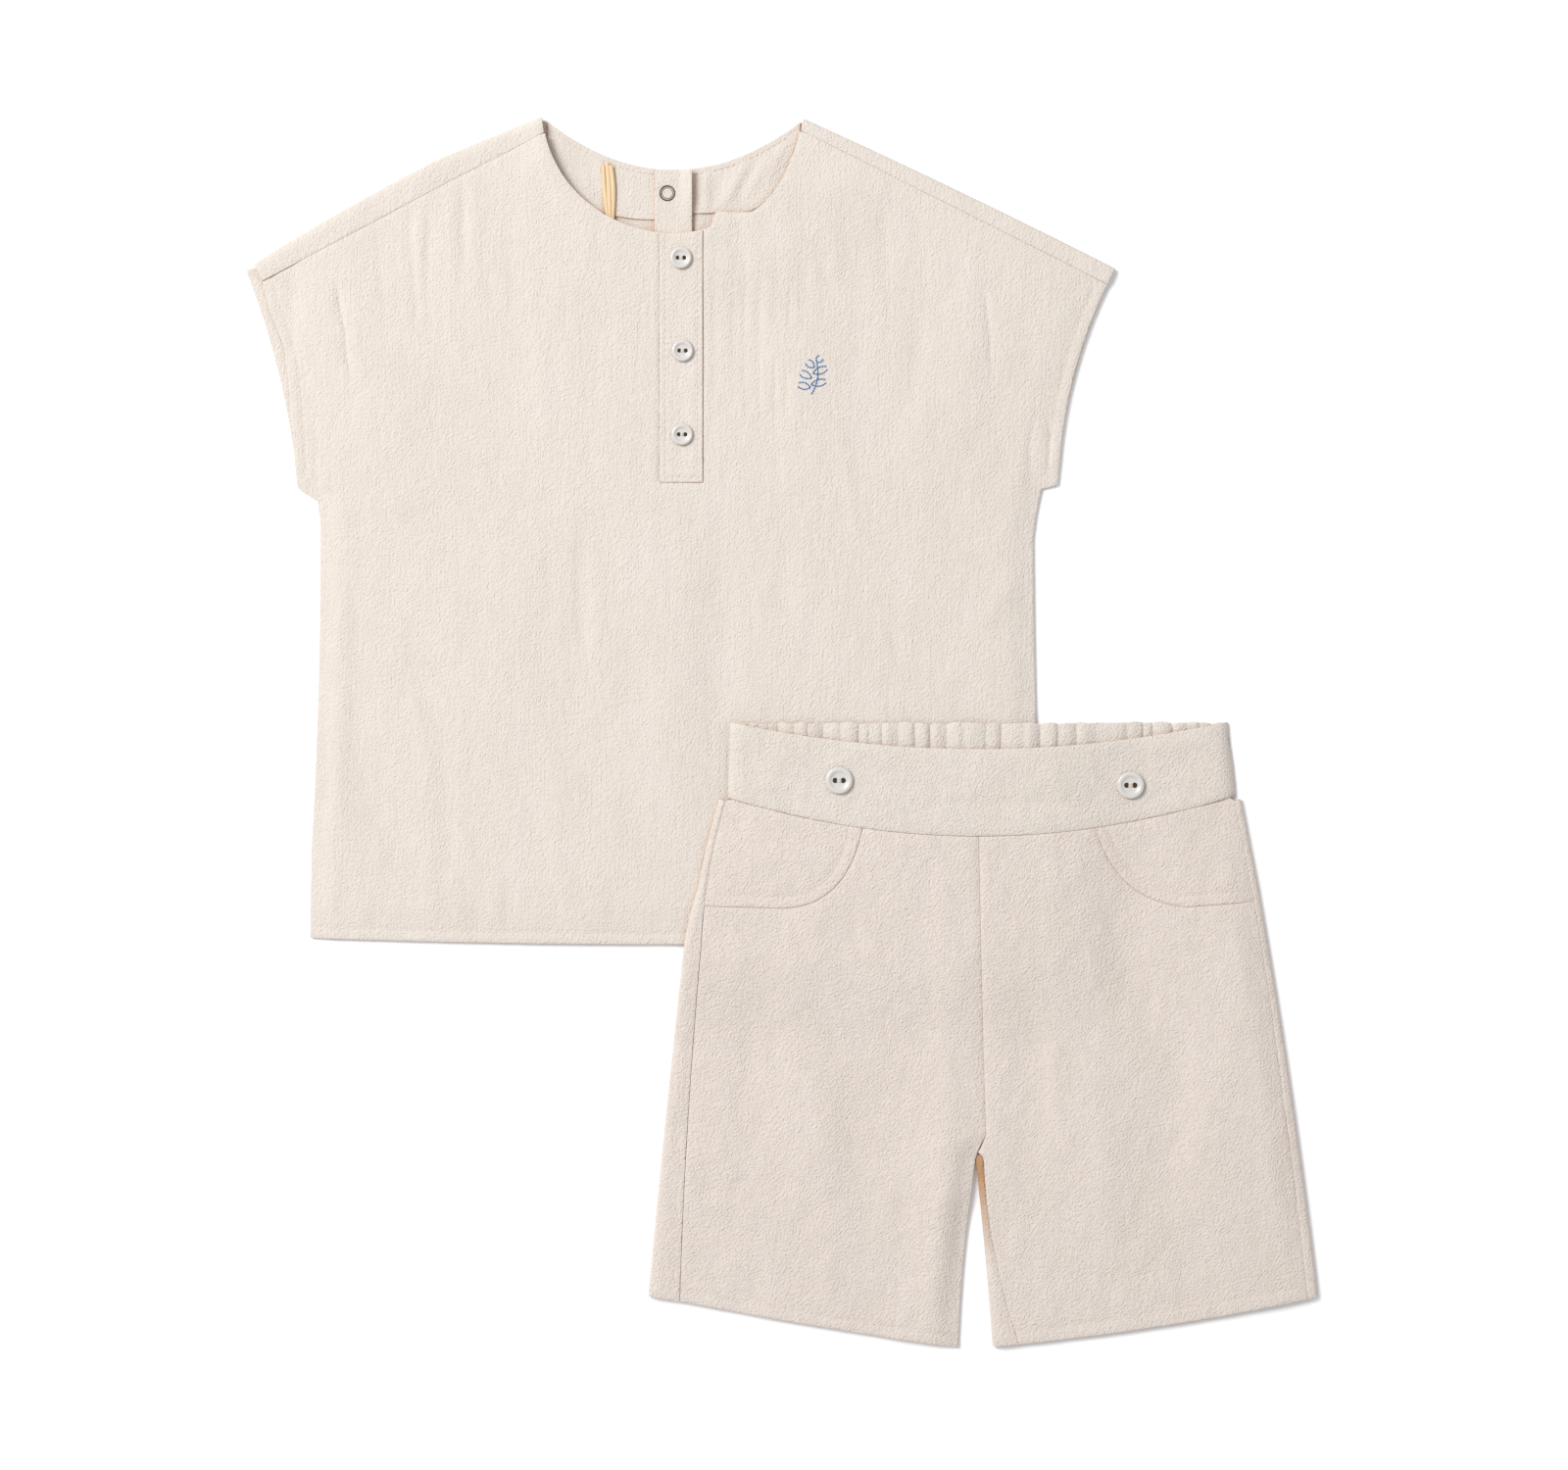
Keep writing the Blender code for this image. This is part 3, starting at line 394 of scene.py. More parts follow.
def crinkled_crepe(
    name, slant, streak, crinkle,
    cream=("#d6cdc3", "#d9d0c7"), crease_shade=("#cca688", 4.0, 0.15, 0.7), shaded=None,
):
    """Cotton crepe, woven and shrunk to fine crinkles: matt and pebbled all over, with painted tan shade in
    its folds.

    cream is its two base colours. crease_shade is the painted shade colour in its folds and recesses, how far
    off in millimetres cloth shades them, and the shares of open sky where that is full and gone. shaded is a
    run in Y, in millimetres, over which painted shade on a turned edge fades out, and its painted shade
    colour there.
    """
    material, tree, shader, place = finish_of(
        name, 0.92, Specular_IOR_Level=0.2, Sheen_Weight=0.08, Sheen_Roughness=0.6
    )

    # The crinkles run in short strokes whose direction wanders from place to place
    drift = pattern(tree, place, 9.0, 13.0, Scale=1.0, Detail=1.0)["Color"]
    centred = node(
        tree, "ShaderNodeVectorMath", {0: drift, 1: (0.5, 0.5, 0.5)}, operation="SUBTRACT"
    ).outputs[0]
    bent = {0: centred, 1: (0.005, 0.005, 0.0), 2: place}
    wander = node(tree, "ShaderNodeVectorMath", bent, operation="MULTIPLY_ADD").outputs[0]
    strokes = pattern(tree, wander, 0.85, 1.35, slant, Scale=1.0, Detail=2.0)["Fac"]
    # Threads are 0.4 mm apart in the real cloth, drawn here at 0.8 mm so that they show
    threads = pattern(tree, place, 0.8, 1.1, Scale=1.0, Detail=1.0)["Fac"]
    ribs = pattern(tree, place, 1.0, 16.0, Scale=1.0, Detail=1.0)["Fac"]
    relief = strokes
    for fine, share in ((threads, 0.4), (ribs, streak)):
        added = {0: fine, 1: share, 2: relief}
        relief = node(tree, "ShaderNodeMath", added, operation="MULTIPLY_ADD").outputs[0]
    bump = node(tree, "ShaderNodeBump", {"Height": relief, "Strength": 1.0, "Distance": crinkle * MM})
    tree.links.new(bump.outputs["Normal"], shader.inputs["Normal"])

    patch = pattern(tree, place, 26.0, 48.0, Scale=1.0, Detail=3.0)["Fac"]
    spans = [(patch, 0.3, 0.7, cream[0])]
    if shaded:
        # Painted shade: a turned edge is coloured tan where it lies in the shade of the other leg, fading out
        # towards its foot
        way = node(tree, "ShaderNodeSeparateXYZ", {"Vector": place}).outputs["Y"]
        spans.append((way, shaded[0] * MM, shaded[1] * MM, shaded[2]))
    # Painted shade: an ambient occlusion mask tints folds and recesses tan, for light that has passed through
    # the cloth or bounced in a fold
    tan, reach, closed, clear = crease_shade
    sky = node(tree, "ShaderNodeAmbientOcclusion", {"Distance": reach * MM}, samples=6).outputs["AO"]
    spans.append((sky, closed, clear, tan))
    cloth_and_shade_colour = linear(cream[1])
    for value, start, end, dark in spans:
        eased = {"Value": value, "From Min": start, "From Max": end}
        share = node(tree, "ShaderNodeMapRange", eased).outputs["Result"]
        mixed = {0: share, 6: linear(dark), 7: cloth_and_shade_colour}
        cloth_and_shade_colour = node(tree, "ShaderNodeMix", mixed, data_type="RGBA").outputs[2]
    tree.links.new(cloth_and_shade_colour, shader.inputs["Base Color"])
    return material


top_crepe = crinkled_crepe("cotton_crepe_top", -24.0, 0.35, 0.66)
# Painted shade: a copy of the crepe for inside the neck, its folds and recesses tinted tan farther out and
# more strongly
neck_shade_crepe = crinkled_crepe(
    "cotton_crepe_neck_shade", -24.0, 0.35, 0.66, crease_shade=("#d3a57e", 6.5, 0.22, 0.8)
)


def top_back_height(flat):
    """Lies flat, but for faint ripples under the neck opening."""
    ripples = 0.10 * rumple(flat, 8.0, 22.0, 3) * smooth((flat[:, 1] - 300.0) / 40.0)
    return WALL / 2.0 + abs(ripples)


folds = (paired(TOP_CREST_RIGHT, TOP_SEAM_RIGHT), paired(TOP_CREST_LEFT, TOP_SEAM_LEFT))
outline = ring(
    part_of_edge("hem left", "sleeve tip right")[:-1],
    fold_base(*folds[0]),
    part_of_edge("neck right", "neck left")[1:-1],
    fold_base(*folds[1]),
    part_of_edge("sleeve tip left", "hem left")[:-1],
)
flat, faces = filled(outline, 4.0)
from_corner = np.hypot(*(folds[1][0] - folds[1][0][0]).T)
strips = [
    folded_strip(*folds[0], top_back_height, 11),
    folded_strip(*folds[1], top_back_height, 12, 1.0 + 1.1 * np.exp(-((from_corner / 9.0) ** 2))),
]
panel = joined((lifted(flat, top_back_height), faces), *strips)
middles = np.array([flat[list(f)].mean(0) for f in faces])
# Painted shade: the back's faces inside the neck opening take the tan-shaded copy of the crepe
neck_shade_faces = np.flatnonzero(np.hypot(*((middles - NECK_CENTRE) / (64.0, 60.0)).T) < 1.0)
top_back_cloth = cloth("top_back_cloth", panel, TOP_AT, top_crepe, shaded=(neck_shade_crepe, neck_shade_faces))
sewn_in(top_back_cloth, ["top_back"])


# Front of the top. The same crepe, hand-smoothed on the back, so it keeps soft upright ripples and
# a few sharper creases. Its neckline stands a little off the back, and its hems are turned and stitched.

SEAM_HEIGHT = WALL + 0.1
SEAM_GAP = 0.06
FRONT_HEIGHT = 2.6
SIDE_RISE = 13.0
NECK_LIFT = 1.3
NECK_HALF_WIDTH = 60.3
NECK_DEPTH = 53.4
TOP_FRONT_SLEEVE_RIGHT = (("foot", 178.2, 215.3, -4.9), ("seam", 201.1, 308.8, 0.0))
TOP_FRONT_SLEEVE_LEFT = (
    ("seam", -195.2, 310.0, 0.0),
    ("turn", -192.2, 297.5, 0.0),
    ("bend", -185.2, 280.3, -0.4),
    ("join", -182.0, 250.0, 0.0),
    ("foot", -178.9, 214.0, 0.0),
)
# The neckline is a half ellipse, but squarer on its right, with a step by the strip: x, rise off it there
NECK_RIGHT_LIE = (
    (15.2, 0.0), (16.8, 6.2), (20.0, 5.6), (24.5, 3.4), (29.3, 0.7), (34.5, -2.6), (41.0, -3.4),
    (48.0, -2.6), (53.5, 0.0),
)
PLACKET_LEFT = -8.7
PLACKET_RIGHT = 11.5
PLACKET_FOOT = 216.2
HEM_DEPTH = 5.0
HEM_CUTS = (1.4, 4.2, 5.0, 5.8, 7.4)
# Creases narrower than this get edges of their own, at these shares of their half width
SHARP_CREASE = 2.0
CREASE_CUTS = (-1.5, -0.7, 0.0, 0.7, 1.5)

# Broad folds: x, y, half length, half width, lean from upright in degrees, height
TOP_FOLDS = (
    (-135.0, 250.0, 75.0, 30.0, -10.0, 1.1),
    (-78.0, 130.0, 110.0, 34.0, 3.0, 0.9),
    (60.0, 265.0, 85.0, 30.0, -6.0, 1.0),
    (128.0, 255.0, 70.0, 28.0, 18.0, 1.0),
)
# Creases: from x, y, to x, y, bow, half width, height (a trough is below nought)
TOP_CREASES = (
    (-181.5, 322.0, -180.5, 286.0, 0.0, 4.0, -1.00),
    (-160.5, 312.0, -155.5, 284.0, 0.6, 1.2, -0.85),
    (-156.4, 290.0, -153.0, 264.0, 1.0, 1.1, -0.75),
    (-152.0, 302.0, -147.0, 262.0, 1.0, 2.6, 0.45),
    (-141.0, 336.0, -136.0, 282.0, 1.0, 1.9, -0.35),
    (-127.0, 346.0, -123.0, 285.0, -1.0, 1.9, -0.55),
    (-121.5, 348.0, -121.0, 300.0, 1.0, 2.4, 0.40),
    (-115.5, 352.0, -117.0, 296.0, 1.0, 1.9, -0.45),
    (-107.0, 356.0, -106.0, 300.0, 0.0, 2.6, 0.40),
    (-101.5, 358.0, -100.0, 316.0, 0.0, 1.8, -0.60),
    (-95.0, 360.0, -95.5, 300.0, 1.0, 2.4, 0.35),
    (-80.0, 350.0, -78.0, 270.0, -1.0, 3.5, -0.30),
    (-66.0, 330.0, -62.0, 230.0, 2.0, 5.0, 0.30),
    (-90.0, 318.0, -86.0, 296.0, 0.5, 2.5, -0.40),
    (-46.0, 205.0, -43.0, 120.0, 1.0, 2.6, -0.50),
    (-40.0, 195.0, -37.0, 120.0, 0.0, 4.0, 0.30),
    (-60.0, 195.0, -61.0, 150.0, 0.0, 2.4, -0.35),
    (-8.0, 200.0, -6.0, 10.0, -1.0, 12.0, 0.80),
    (20.0, 205.0, 22.0, 60.0, 1.0, 9.0, -0.70),
    (17.0, 335.0, 17.5, 255.0, 0.0, 1.4, -0.22),
    (22.0, 338.0, 22.4, 262.0, 0.5, 2.4, 0.12),
    (26.5, 332.0, 26.8, 250.0, 0.5, 1.3, -0.20),
    (32.2, 336.0, 31.6, 246.0, 0.5, 1.3, -0.26),
    (35.2, 330.0, 35.0, 255.0, 0.0, 2.4, 0.12),
    (38.4, 318.0, 38.2, 244.0, 0.4, 1.2, -0.30),
    (42.5, 330.0, 42.0, 250.0, 0.0, 2.8, 0.25),
    (45.5, 276.0, 45.0, 236.0, -0.4, 1.2, -0.32),
    (47.0, 334.0, 46.4, 296.0, 0.4, 1.3, -0.20),
    (52.4, 312.0, 52.0, 286.0, 0.0, 1.2, -0.32),
    (51.6, 276.0, 51.4, 246.0, 0.3, 1.2, -0.30),
    (48.0, 252.0, 46.5, 206.0, 1.0, 1.8, -0.22),
    (58.0, 330.0, 60.0, 285.0, 0.0, 2.4, -0.45),
    (72.0, 356.0, 76.0, 300.0, 1.0, 4.0, 0.40),
    (84.0, 330.0, 85.0, 250.0, 1.0, 4.0, -0.30),
    (96.0, 350.0, 101.0, 290.0, 1.0, 4.0, -0.40),
    (75.0, 250.0, 86.0, 186.0, 2.0, 3.0, 0.40),
    (110.0, 300.0, 112.0, 250.0, -2.0, 4.5, -0.50),
    (121.0, 290.0, 116.0, 225.0, 2.0, 4.5, 0.40),
    (138.0, 320.0, 134.0, 250.0, 2.0, 6.0, 0.40),
    (143.5, 308.0, 147.0, 264.0, -0.8, 1.2, -0.50),
    (167.0, 248.0, 165.5, 214.0, 1.0, 1.3, -0.55),
    (174.5, 252.0, 174.0, 222.0, 0.0, 1.2, -0.40),
    (-170.5, 252.0, -169.8, 213.0, 0.0, 1.3, -0.35),
    (100.0, 150.0, 104.0, 130.0, 0.5, 2.0, -0.55),
    (142.0, 148.0, 160.0, 178.0, 1.0, 5.0, 0.50),
    (50.0, 198.0, 51.0, 148.0, 0.5, 3.0, -0.35),
    (-125.0, 120.0, -118.0, 60.0, -2.0, 4.0, 0.45),
    (-116.0, 56.0, -114.0, 8.0, 1.0, 3.5, 0.40),
    (-104.0, 38.0, -101.0, 6.0, 0.5, 2.6, 0.40),
    (-110.0, 90.0, -105.0, 30.0, 2.0, 4.0, -0.35),
    (-87.0, 30.0, -84.0, 8.0, 0.5, 3.0, 0.40),
    (-60.0, 100.0, -56.0, 50.0, -1.0, 4.5, 0.40),
    (-40.0, 40.0, -36.0, 8.0, 1.0, 3.0, 0.30),
    (-150.0, 180.0, -148.0, 40.0, 1.0, 6.0, -0.35),
    (-160.0, 190.0, -161.0, 20.0, -1.0, 4.0, 0.35),
)


def folds_at(flat, table):
    """Height of the broad folds: each is one smooth ridge, full in its middle and gone at its ends."""
    height = np.zeros(len(flat))
    for x, y, half_length, half_width, lean, rise in table:
        angle = math.radians(lean)
        along = (flat[:, 1] - y) * math.cos(angle) + (flat[:, 0] - x) * math.sin(angle)
        across = (flat[:, 0] - x) * math.cos(angle) - (flat[:, 1] - y) * math.sin(angle)
        height += rise * smooth(1.0 - abs(along) / half_length) * smooth(1.0 - abs(across) / half_width)
    return height


def creases_at(flat, table):
    """Height of the creases: soft troughs and ridges that fade out at both ends."""
    height = np.zeros(len(flat))
    for x0, y0, x1, y1, bow, half_width, rise in table:
        run = np.array([x1 - x0, y1 - y0])
        length = np.hypot(*run)
        offset = flat - (x0, y0)
        t = offset @ run / length**2
        side = (offset[:, 0] * run[1] - offset[:, 1] * run[0]) / length - 4.0 * bow * t * (1.0 - t)
        fade = np.sin(math.pi * np.clip(t, 0.0, 1.0)) ** 0.7
        height += rise * fade * np.exp(-(side / half_width) ** 2)
    return height


def hem_relief(flat, edge):
    """A turned hem: thick and rounded to its edge, pulled in along the stitching, faintly puckered there."""
    away = distance_to(edge, flat)
    pulled = np.exp(-(((away - HEM_DEPTH) / 0.8) ** 2))
    turned = smooth(away / 1.2) * smooth((HEM_DEPTH - away) / 1.2)
    pucker = rumple(flat, 3.4, 3.4, 21) * np.exp(-(((away - HEM_DEPTH) / 4.0) ** 2))
    return 0.14 * turned - 0.20 * pulled + 0.12 * pucker


def inlay(inside):
    """How far a panel sinks under a piece sewn on it, from just outside that piece's edge."""
    return 0.74 * smooth((inside + 0.8) / 1.2)


def front_neckline():
    """Down from the right shoulder seam and up to the left one: near a half ellipse, narrower below."""
    below_seam = NECK_CENTRE[1] + 0.45
    right = math.asin((below_seam - TOP_SEAM_RIGHT[-1][2]) / NECK_DEPTH)
    left = math.pi - math.asin((below_seam - TOP_SEAM_LEFT[0][2]) / NECK_DEPTH)
    angle = np.linspace(right, left, 72)
    x = NECK_CENTRE[0] + NECK_HALF_WIDTH * np.cos(angle) - 1.4 * np.sin(2.0 * angle)
    y = NECK_CENTRE[1] - NECK_DEPTH * np.sin(angle)
    return np.column_stack([x, y + np.interp(x, *np.array(NECK_RIGHT_LIE).T)])


TOP_SIDES = (
    part_of_edge("hem right", "sleeve foot right", 8.0), part_of_edge("sleeve foot left", "hem left", 8.0)
)
TOP_HEMS = (
    part_of_edge("hem left", "hem right", 8.0),
    line(TOP_FRONT_SLEEVE_RIGHT, run_counts(TOP_FRONT_SLEEVE_RIGHT, 8.0)),
    line(TOP_FRONT_SLEEVE_LEFT, run_counts(TOP_FRONT_SLEEVE_LEFT, 8.0)),
)


def nearest_of(lines, flat):
    return np.minimum.reduce([distance_to(edge, flat) for edge in lines])


def from_neckline(flat):
    """About how far a point is outside the neckline's half ellipse."""
    across = (flat[:, 0] - NECK_CENTRE[0]) / NECK_HALF_WIDTH
    down = (flat[:, 1] - NECK_CENTRE[1]) / NECK_DEPTH
    return (np.hypot(across, down) - 1.0) * NECK_DEPTH


def top_front_height(flat):
    """Middle of the front's wall with its broad folds: low at the side seams, lifted round the neckline."""
    from_side = nearest_of(TOP_SIDES, flat)
    lift = (1.0 - smooth((from_neckline(flat) - 16.0) / 34.0)) * (1.0 - smooth((flat[:, 1] - 350.0) / 22.0))
    height = SEAM_HEIGHT + (FRONT_HEIGHT - SEAM_HEIGHT) * smooth(from_side / SIDE_RISE)
    height -= 0.8 * (1.0 - smooth(nearest_of(TOP_HEMS, flat) / 18.0)) * smooth(from_side / SIDE_RISE)
    return height + NECK_LIFT * lift + folds_at(flat, TOP_FOLDS) + WALL / 2.0


def inside_placket(flat):
    """How far a point is inside the front strip's outline, below nought outside it."""
    across = np.minimum(flat[:, 0] - PLACKET_LEFT, PLACKET_RIGHT - flat[:, 0])
    return np.minimum(across, flat[:, 1] - PLACKET_FOOT)


def neck_roll(flat):
    """The free neck edge stands up from the back, most at its left, and comes down to the shoulder seams."""
    rise = 0.4 * smooth((381.0 - flat[:, 1]) / 16.0)
    rise += smooth((-12.0 - flat[:, 0]) / 36.0) * (1.0 + 2.7 * smooth((flat[:, 1] - 350.0) / 20.0))
    return rise * np.exp(-((from_neckline(flat) / 9.0) ** 2))


def top_front_surface(flat):
    """The front as it lies: folds, creases, ripples and hems, calmer under the strip and at the sides."""
    beyond = -inside_placket(flat)
    free = smooth(nearest_of(TOP_SIDES, flat) / 9.0) * smooth(0.2 + beyond / 6.0)
    ripples = 0.20 * rumple(flat, 21.0, 95.0, 5) + 0.09 * rumple(flat, 6.5, 42.0, 6)
    ripples += 0.08 * rumple(flat, 3.4, 15.0, 7)
    height = top_front_height(flat) + free * (creases_at(flat, TOP_CREASES) + ripples)
    height += neck_roll(flat) - inlay(-beyond)
    for edge in TOP_HEMS:
        height += hem_relief(flat, edge)
    return height


seam_right = beside(folds[0][1], SEAM_GAP)
seam_left = beside(folds[1][1], SEAM_GAP)
sleeve_right = line(TOP_FRONT_SLEEVE_RIGHT)
sleeve_left = line(TOP_FRONT_SLEEVE_LEFT)
outline = ring(
    part_of_edge("hem left", "sleeve foot right")[:-1],
    sleeve_right[:-1],
    seam_right[:-1],
    front_neckline(),
    seam_left[1:],
    sleeve_left[1:-1],
    part_of_edge("sleeve foot left", "hem left")[:-1],
)
hem_lines = [part_of_edge("hem left", "hem right"), sleeve_right, sleeve_left]
cuts = [beside(edge, depth)[2:-2] for edge in hem_lines for depth in HEM_CUTS]
for x0, y0, x1, y1, bow, half_width, _ in TOP_CREASES:
    if half_width < SHARP_CREASE:
        path = bowed((x0, y0), (x1, y1), bow, max(4, round(math.dist((x0, y0), (x1, y1)) / 2.0)))
        cuts += [beside(path, share * half_width) for share in CREASE_CUTS]
for out in (0.9, 0.3, -0.4):
    corners = [
        (PLACKET_LEFT - out, 332.0), (PLACKET_LEFT - out, PLACKET_FOOT - out),
        (PLACKET_RIGHT + out, PLACKET_FOOT - out), (PLACKET_RIGHT + out, 332.0),
    ]
    runs = [bowed(a, b, 0.0, count) for a, b, count in zip(corners, corners[1:], (48, 9, 48))]
    cuts.append(np.concatenate([*runs, [corners[-1]]]))
flat, faces = filled(outline, 2.4, cuts)
top_front_cloth = cloth("top_front_cloth", (lifted(flat, top_front_surface), faces), TOP_AT, top_crepe)
sewn_in(top_front_cloth, ["top_front"])


# Front strip and topstitching. The strip is two layers of the crepe, turned in at its edges, and sewn
# down all round with a row 2.5 mm inside them. The same thread runs round the hems and the back neck.


def stitched(name, rows, material, at, thread=0.42, pitch=3.0, length=2.2):
    """Rows of raised stitches in one mesh. A row is a path and the height of the cloth's upper side."""
    angle = np.linspace(0.0, 2.0 * math.pi, 6)[:-1]
    along = np.array([-0.5, -0.38, 0.0, 0.38, 0.5]) * length
    radius = np.array([0.0, 0.75, 1.0, 0.75, 0.0]) * thread / 2.0
    sink = np.array([-0.45, -0.12, 0.05, -0.12, -0.45]) * thread
    points = []
    faces = []
    for path, upper in rows:
        steps = np.hypot(*np.diff(path, axis=0).T)
        reach = np.concatenate([[0.0], np.cumsum(steps)])
        middles = np.arange(pitch / 2.0, reach[-1], pitch)
        place = np.column_stack([np.interp(middles, reach, path[:, k]) for k in (0, 1)])
        before, after = (
            np.column_stack([np.interp(middles + step, reach, path[:, k]) for k in (0, 1)])
            for step in (-0.4, 0.4)
        )
        ahead = (after - before) / np.hypot(*(after - before).T)[:, None]
        for (x, y), (ax, ay), z in zip(place, ahead, upper(place)):
            start = len(points)
            for forward, r, down in zip(along, radius, sink):
                for a in (angle if r else angle[:1]):
                    aside = r * math.cos(a)
                    points.append((
                        (x + ax * forward - ay * aside + at[0]) * MM,
                        (y + ay * forward + ax * aside + at[1]) * MM,
                        (z + down + r * math.sin(a)) * MM,
                    ))
            for k in range(5):
                n = (k + 1) % 5
                faces.append((start, start + 1 + n, start + 1 + k))
                faces.append((start + 16, start + 11 + k, start + 11 + n))
                for first in (start + 1, start + 6):
                    faces.append((first + k, first + n, first + 5 + n, first + 5 + k))
    mesh = bpy.data.meshes.new(name)
    mesh.from_pydata(points, [], faces)
    mesh.shade_smooth()
    mesh.materials.append(material)
    piece = placed(name, mesh)
    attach(piece, "root")
    return piece


def spun_thread(name, dark, light):
    """Spun sewing thread: a soft low gloss, with a fine ply along it."""
    material, tree, shader, place = finish_of(name, 0.65, Specular_IOR_Level=0.35, Sheen_Weight=0.1)
    ply = pattern(tree, place, 0.5, 0.5, Scale=1.0, Detail=2.0)["Fac"]
    coloured(tree, shader, ply, dark, light)
    bump = node(tree, "ShaderNodeBump", {"Height": ply, "Strength": 0.5, "Distance": 0.1 * MM})
    tree.links.new(bump.outputs["Normal"], shader.inputs["Normal"])
    return material


cream_thread = spun_thread("spun_thread_cream", "#d3c3b2", "#e8dccf")
PLACKET_TOP = NECK_CENTRE[1] - NECK_DEPTH
# How far its row of stitches is inside the strip's edge
PLACKET_ROW = 2.5
SEWN_ON_WALL = 0.8


def neck_y(x):
    """Where the front neckline is at x."""
    across = (np.asarray(x, float) - NECK_CENTRE[0]) / NECK_HALF_WIDTH
    return NECK_CENTRE[1] - NECK_DEPTH * np.sqrt(np.maximum(0.0, 1.0 - across**2))


def placket_surface(flat):
    """The strip lies on the front, rounded at its edges and pulled in along its stitching."""
    inside = inside_placket(flat)
    turned = 0.15 * smooth(inside / 1.6) + 0.35 * smooth(flat[:, 0] / PLACKET_RIGHT)
    pulled = 0.20 * np.exp(-(((inside - PLACKET_ROW) / 0.8) ** 2))
    ripples = 0.10 * rumple(flat, 5.0, 18.0, 31) + 0.05 * rumple(flat, 2.5, 4.0, 32)
    return top_front_height(flat) + neck_roll(flat) + 0.24 + turned - pulled + ripples


columns = np.unique(np.round(np.concatenate([
    np.linspace(PLACKET_LEFT, PLACKET_LEFT + 4.4, 8),
    np.linspace(-3.0, 5.9, 7)[:-1],
    np.linspace(PLACKET_RIGHT - 4.4, PLACKET_RIGHT, 8),
]), 3))
heights_up = np.concatenate([np.linspace(0.0, 4.4, 8)[:-1], np.linspace(4.4, 118.0, 62)]) / 118.0
grid = np.array([
    (x, PLACKET_FOOT + (float(neck_y(x)) - 0.15 - PLACKET_FOOT) * t) for t in heights_up for x in columns
])
surface = (lifted(grid, placket_surface), grid_faces(len(heights_up), len(columns)))
placket_cloth = cloth("placket_cloth", surface, TOP_AT, top_crepe, SEWN_ON_WALL)
sewn_in(placket_cloth, ["top_placket"])


def upper_side(surface):
    """The height of a panel's upper side, from that of its wall's middle."""
    return lambda flat: surface(flat) + WALL / 2.0


upper_front = upper_side(top_front_surface)
upper_placket = upper_side(placket_surface)
left_in, right_in = PLACKET_LEFT + PLACKET_ROW, PLACKET_RIGHT - PLACKET_ROW
foot_in = PLACKET_FOOT + PLACKET_ROW
placket_row = np.array([
    (left_in, PLACKET_TOP + 1.0), (left_in, foot_in), (right_in, foot_in), (right_in, PLACKET_TOP + 1.0)
])
top_rows = [(beside(edge, HEM_DEPTH)[3:-3], upper_front) for edge in hem_lines]
top_rows.append((placket_row, upper_placket))
top_stitches = stitched("top_stitches", top_rows, cream_thread, TOP_AT)


# Inside the back neck. Two curved facings finish it, each with a pinked edge that hangs free. A strip
# of two layers closes the back opening over their ends, with a ring snap, and a tape loop hangs by it.

FACING_ENDS = {"left": (0.98, 0.53), "right": (0.012, 0.458)}
# Depth of each facing at shares of the way round the neck, from its right end
FACING_DEPTHS = {
    "left": ((0.53, 23.2), (0.704, 26.2), (0.98, 31.0)),
    "right": ((0.012, 24.0), (0.135, 27.0), (0.206, 28.0), (0.33, 22.8), (0.458, 20.1)),
}
FACING_WALL = 0.6
STRIP_LEFT = -11.0
STRIP_RIGHT = 6.6
STRIP_LENGTH = 70.0
STRIP_DROP = (316.0, 330.0)
SNAP_AT = (-5.1, 351.9)
SNAP_RADIUS = 3.5
SNAP_WIRE = 0.5
LOOP_TOP = (-33.4, 366.2)
LOOP_FOOT = (-31.7, 338.8)


def back_neck_point(t):
    """A point of the back neckline, from 0 at its right end to 1 at its left."""
    rows = {row[0]: row[1:] for row in TOP_EDGE}
    start_x, start_y, bulge = rows["neck right"]
    end_x, end_y, _ = rows["neck left"]
    return np.array([
        start_x + (end_x - start_x) * t, start_y + (end_y - start_y) * t + 4.0 * bulge * t * (1.0 - t)
    ])


def facing_creases(side):
    """Puckers of a facing that is cut on a curve and pressed: from x, y, to x, y, bow, half width, height."""
    if side == "left":
        return (
            (-45.0, 372.0, -40.0, 348.0, 1.0, 2.0, 0.45),
            (-38.0, 370.0, -36.5, 350.0, -1.0, 1.6, 0.60),
            (-22.0, 364.0, -20.0, 338.0, 1.0, 2.2, 0.30),
        )
    return (
        (14.0, 366.0, 13.0, 340.0, 0.5, 1.8, 0.9),
        (24.0, 364.0, 17.0, 346.0, 1.0, 1.8, -0.40),
        (32.0, 368.0, 20.0, 345.0, -1.0, 1.8, 0.8),
        (38.0, 368.0, 27.0, 346.0, 1.0, 1.8, -0.40),
        (44.0, 372.0, 32.0, 350.0, 0.0, 1.8, 0.75),
        (51.0, 378.0, 40.0, 356.0, 0.0, 2.0, 0.6),
    )


